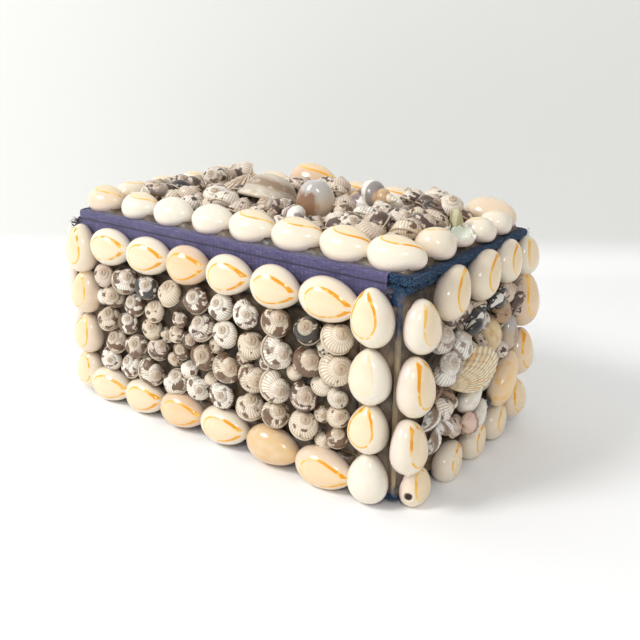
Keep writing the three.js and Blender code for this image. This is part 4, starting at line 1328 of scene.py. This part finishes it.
def ring(x0, x1, y0, y1, z, r):
    """Points round a rectangle with rounded corners, the same number on each."""
    points = []
    low_x, high_x, low_y, high_y = x0 + r, x1 - r, y0 + r, y1 - r
    corners = [(high_x, low_y, -90), (high_x, high_y, 0), (low_x, high_y, 90), (low_x, low_y, 180)]
    for k, (x, y, start) in enumerate(corners):
        for step in range(7):
            angle = math.radians(start + step * 15)
            points.append((x + r * math.cos(angle), y + r * math.sin(angle), z))
        end = np.array(points[-1])
        x, y, start = corners[(k + 1) % 4]
        angle = math.radians(start)
        goal = np.array((x + r * math.cos(angle), y + r * math.sin(angle), z))
        count = 40 if k % 2 == 0 else 76
        points += [tuple(end + (goal - end) * step / count) for step in range(1, count)]
    return np.array(points)


def cloth(name, body, rings, lump, node):
    """A glued skin of cloth through the rings, closed over its first one."""
    points = np.concatenate(rings)
    columns = len(rings[0])
    push = gathered(*[waves(points, 5.0, 11 + k) + 0.5 * waves(points, 1.6, 21 + k) for k in range(3)])
    points = np.vstack([points + push * lump, rings[0].mean(axis=0)])
    faces = [net(len(rings), columns), cap(0, columns, len(points) - 1, flip=True)]
    heap = Heap()
    heap.add(points, faces, points, EVEN_TONE, "cloth")
    return heap.build(name, body, node, slot="blue_cloth")


def span(reach_x, low_y, high_y, z, radius, shift=0.0):
    return ring(shift - reach_x, shift + reach_x, low_y, high_y, z, radius)


long, wide = half_length, half_width
inside_x, inside_y = long - 3.1, wide - 3.1
lining_levels = (4.6, 9, 14, 20, 26, 32, 38, 44, 50, 55, 59, 61)
lining = [span(inside_x * s, -inside_y * s, inside_y * s, 3.9, 1.2) for s in (0.2, 0.4, 0.6, 0.8, 0.96)]
lining += [span(inside_x, -inside_y, inside_y, z, 1.4) for z in lining_levels]
lining.append(span(inside_x + 0.4, -inside_y - 0.4, inside_y + 0.4, 61.7, 1.8))
lining.append(span(long - 0.6, -wide + 0.6, wide - 0.6, 62.0, 2.2))
for out, z in ((0.45, 61.85), (0.95, 61.3), (1.0, 60.7), (0.7, 60.15), (0.3, 60.1)):
    lining.append(span(long + out, -wide, wide + out, z, 2.2))
cloth("box_lining_cloth", "box", lining, 0.14, "box_lining")

base = [span(long * s, -wide * s, wide * s, 0.02, 2.0) for s in (0.3, 0.6, 0.85, 0.98)]
for out, z in ((0.45, 0.35), (0.6, 1.0), (0.5, 1.9), (0.05, 2.3)):
    base.append(span(long + out, -wide - out, wide + out, z, 2.0))
cloth("base_cloth_skin", "box", base, 0.06, "base_cloth")

lid_reach = (lid_high[0] - lid_low[0]) / 2
lid_floor = lid_low[2]
lid_wrap = []
for s in (0.3, 0.6, 0.85, 0.97):
    lid_wrap.append(span(lid_reach * s, -wide * s, wide * s, lid_floor + 0.1, 2.0, lid_middle))
edge_outs = (-0.5, -0.1, 0.1, 0.1, -0.15, -0.7, -1.8, -2.8)
for out, z in zip(edge_outs, (0.05, 0.35, 0.9, 1.6, 2.15, 2.45, 2.5, 2.35)):
    high = lid_high[1] + min(out, 0)
    low = -wide + (0.05 if out > -0.6 else 0.5)
    lid_wrap.append(ring(lid_low[0] - out, lid_high[0] + out, low, high, lid_floor + z, 2.0))
cloth("lid_cloth_skin", "lid", lid_wrap, 0.1, "lid_cloth")

for name in ("box_tray", "lid_board"):
    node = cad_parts[name]
    node.data.materials.clear()
    node.data.materials.append(materials["board"])

# Uneven strips of glue-soaked board round the four upright corners
heap = Heap()
levels = np.linspace(1.2, 60.6, 90)
offsets = np.array([(5.2, 0.03), (4.6, 0.2), (3.2, 0.22), (1.6, 0.3), (0.5, 0.42), (-0.2, -0.2)])
for sx in (-1, 1):
    for sy in (-1, 1):
        half = [(long - inward, wide + outward) for inward, outward in offsets]
        other = [(long + outward, wide - inward) for inward, outward in offsets[-2::-1]]
        outline = np.array(half + other) * [sx, sy]
        points = np.array([(x, y, z) for z in levels for x, y in outline])
        push = waves(points, 3.0, 31)[:, None] * [0.2 * sx, 0.2 * sy, 0]
        push = push + waves(points, 1.1, 33)[:, None] * [0.07, 0.07, 0]
        heap.add(points + push, [net(len(levels), len(outline), wrap=False)], points, EVEN_TONE, "board")
heap.build("corner_glue", "box", slot="board")

# The ribbon runs from under the lid's shells over the lid's edge and down the wall.
ribbon_low, ribbon_high = box_mm("ribbon_lower")
_, upper_high = box_mm("ribbon_upper")
face = ribbon_low[1] + 0.15
top = upper_high[2]
path = [(-wide + 2.7, top + 0.12), (-wide + 0.9, top + 0.16), (-wide + 0.1, top + 0.12)]
path += [(face + 0.15, top - 0.1), (face, top - 0.5), (face, 63.6), (face, 62.9), (face + 0.03, 62.5)]
path += [(face + 0.12, 62.2), (face + 0.03, 61.9), (face, 61.4), (face, 60.2), (face, 59.0)]
path += [(face, 58.0), (face + 0.02, ribbon_low[2])]
path = np.array(path)
steps = np.concatenate([[0], np.cumsum(np.linalg.norm(np.diff(path, axis=0), axis=1))])
ribbon_width = float(steps[-1])
fine = np.linspace(0, ribbon_width, 40)
cross = np.stack([np.interp(fine, steps, path[:, k]) for k in range(2)], axis=1)
rows = np.linspace(ribbon_low[0], ribbon_high[0], 250)
points = np.array([(x, y, z) for x in rows for y, z in cross])
local = np.array([(x, s, 0) for x in rows for s in fine])
ripple = waves(points, 4.0, 41) * 0.06 + waves(points, 1.3, 43) * 0.03
points[:, 1] -= np.abs(ripple)
edge = np.abs(local[:, 1] - ribbon_width) < 0.4
points[edge, 2] += waves(points[edge], 3.0, 45) * 0.5 + 0.3
heap = Heap()
heap.add(points, [net(len(rows), len(fine), wrap=False)], local, EVEN_TONE, "ribbon")
ribbon = heap.build("ribbon_strip", None, "ribbon_upper", "ribbon_lower", slot="ribbon")
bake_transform(ribbon)


# Loose hairs of the cloth's nap along the rolled edges at the right end.
FUZZ_COUNT, HAIR_STEPS, HAIR_SIDES = 900, 4, 3
fuzz_rng = np.random.default_rng(83)


def hair(root, way, length, radius):
    """A bent hair with three sides, from its root along way."""
    aside = np.cross(way, fuzz_rng.normal(size=3))
    aside /= np.linalg.norm(aside)
    over = np.cross(way, aside)
    share = np.linspace(0, 1, HAIR_STEPS)
    middle = root + share[:, None] * length * way + (share**2)[:, None] * 0.4 * length * aside
    angle = round_angles(HAIR_SIDES)
    ring = np.cos(angle)[:, None] * aside + np.sin(angle)[:, None] * over
    thin = radius * (1.1 - share)
    return (middle[:, None] + thin[:, None, None] * ring).reshape(-1, 3)


def fuzz(name, body, x_at, levels, front_from):
    """Hairs on the right edge of a rolled cloth, and on its front edge from front_from to the corner."""
    heap = Heap()
    for _ in range(FUZZ_COUNT):
        on_front = fuzz_rng.uniform() < 0.14
        z = fuzz_rng.uniform(*levels)
        if on_front:
            root = np.array([fuzz_rng.uniform(front_from, x_at), -wide - 0.1, z])
            way = np.array([fuzz_rng.normal() * 0.5, -1, fuzz_rng.normal() * 0.6])
        else:
            root = np.array([x_at - 0.1, fuzz_rng.uniform(-wide, wide), z])
            way = np.array([1, fuzz_rng.normal() * 0.7, fuzz_rng.normal() * 0.7])
        way /= np.linalg.norm(way)
        points = hair(root, way, fuzz_rng.uniform(0.5, 1.5), fuzz_rng.uniform(0.04, 0.08))
        local = np.tile([0, 0, fuzz_rng.uniform()], (len(points), 1))
        heap.add(points, [net(HAIR_STEPS, HAIR_SIDES)], local, EVEN_TONE, "fuzz")
    heap.build(name, body, slot="blue_cloth")


fuzz("lid_cloth_fuzz", "lid", lid_high[0], (62.7, 64.9), 61.8)
fuzz("box_cloth_fuzz", "box", long + 0.8, (60.2, 61.8), 61.8)

# Threads fray out of the ribbon's ends.
FRAY_COUNT, FRAY_SIDES, FRAY_STEPS = 34, 5, 12
fray_rng = np.random.default_rng(61)
for end, edge_x in ((-1, ribbon_low[0]), (1, ribbon_high[0])):
    heap = Heap()
    for _ in range(FRAY_COUNT):
        level = fray_rng.uniform(58.2, 61.8)
        reach = fray_rng.uniform(1.5, 5.0) * (1.0 if end < 0 else 0.6)
        drop = fray_rng.uniform(-1.6, 1.2)
        out = fray_rng.uniform(0.2, 1.6)
        radius = fray_rng.uniform(0.07, 0.14)
        bend = fray_rng.uniform(0, 2 * math.pi)
        rings = []
        for step in np.linspace(0, 1, FRAY_STEPS):
            x = edge_x + end * (reach * step - 0.5)
            y = face - 0.1 - out * step**2
            z = level + drop * step**1.6 + 0.25 * math.sin(bend + 6 * step)
            for k in range(FRAY_SIDES):
                angle = 2 * math.pi * k / FRAY_SIDES
                rings.append((x, y + radius * math.cos(angle), z + radius * math.sin(angle)))
        rings = np.array(rings)
        heap.add(rings, [net(FRAY_STEPS, FRAY_SIDES)], rings, EVEN_TONE, "thread")
    heap.build("ribbon_fray_left" if end < 0 else "ribbon_fray_right", "box", slot="ribbon")


# The floor, the light and the camera, in metres
floor_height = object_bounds()[0][2]
azimuth, elevation, roll = math.radians(37.18), math.radians(19.58), math.radians(0.40)
flat_back = Vector((math.sin(azimuth), -math.cos(azimuth), 0))
back = flat_back * math.cos(elevation) + Vector((0, 0, math.sin(elevation)))
right_way = Vector((math.cos(azimuth), math.sin(azimuth), 0))
eye = Vector((0.1648, -0.1999, 0.1212))

# The table and the wall behind it are one sheet that bends up.
heap = Heap()
heap.limits = (-10, 10)
table_end, bend = -0.433, 0.02
profile = [(1.2, 0.0), (0.0, 0.0), (table_end + bend, 0.0)]
for t in np.linspace(0.2, math.pi / 2, 8):
    profile.append((table_end + bend - bend * math.sin(t), bend - bend * math.cos(t)))
profile.append((table_end, 1.5))
rows = []
for toward, up in profile:
    centre = Vector((eye.x, eye.y, 0)) + flat_back * toward
    rows.append([[*(centre + right_way * s).xy, up + floor_height] for s in (-1.5, 1.5)])
points = np.array(rows).reshape(-1, 3) / MM
heap.add(points, [net(len(rows), 2, wrap=False)], points, EVEN_TONE, "stage")
finish = Finish("table_and_wall", rough=0.75)
_, _, height = finish.split(finish.place)
finish.start(height.step(floor_height + 0.004, floor_height + 0.02), (252, 252, 252), (228, 229, 226))
materials["stage"] = finish.done()
room = heap.build("table_and_wall", None)


def area_light(name, position, target, size, power):
    data = bpy.data.lights.new(name, "AREA")
    data.shape, data.size, data.energy = "DISK", size, power
    light = bpy.data.objects.new(name, data)
    light.location = position
    light.rotation_mode = "QUATERNION"
    light.rotation_quaternion = (Vector(target) - Vector(position)).to_track_quat("-Z", "Y")
    bpy.context.scene.collection.objects.link(light)


centre = Vector((0, 0, 0.035))
area_light("key", centre + Vector((-0.36, -0.62, 0.62)), centre, 0.3, 5.0)
area_light("front", centre + back * 0.75 + Vector((0, 0, 0.3)), centre, 0.12, 1.0)
world = bpy.data.worlds.new("studio")
world.use_nodes = True
background = world.node_tree.nodes["Background"].inputs
background["Color"].default_value = (1, 1, 1, 1)
background["Strength"].default_value = 0.6
bpy.context.scene.world = world
bpy.context.scene.view_settings.view_transform = "Standard"

up_way = back.cross(right_way)
tilted_right = right_way * math.cos(roll) + up_way * math.sin(roll)
tilted_up = back.cross(tilted_right)
camera_data = bpy.data.cameras.new("camera")
PHOTO_WIDTH, FOCAL_PIXELS, SENSOR = 640, 797.8, 36
camera_data.sensor_width = SENSOR
camera_data.lens = FOCAL_PIXELS / PHOTO_WIDTH * SENSOR
camera_data.clip_start, camera_data.clip_end = 0.01, 20
camera = bpy.data.objects.new("camera", camera_data)
turned = Matrix((tilted_right, tilted_up, back)).transposed()
camera.rotation_mode = "QUATERNION"
camera.rotation_quaternion = turned.to_quaternion()
camera.location = eye
bpy.context.scene.collection.objects.link(camera)
bpy.context.scene.camera = camera
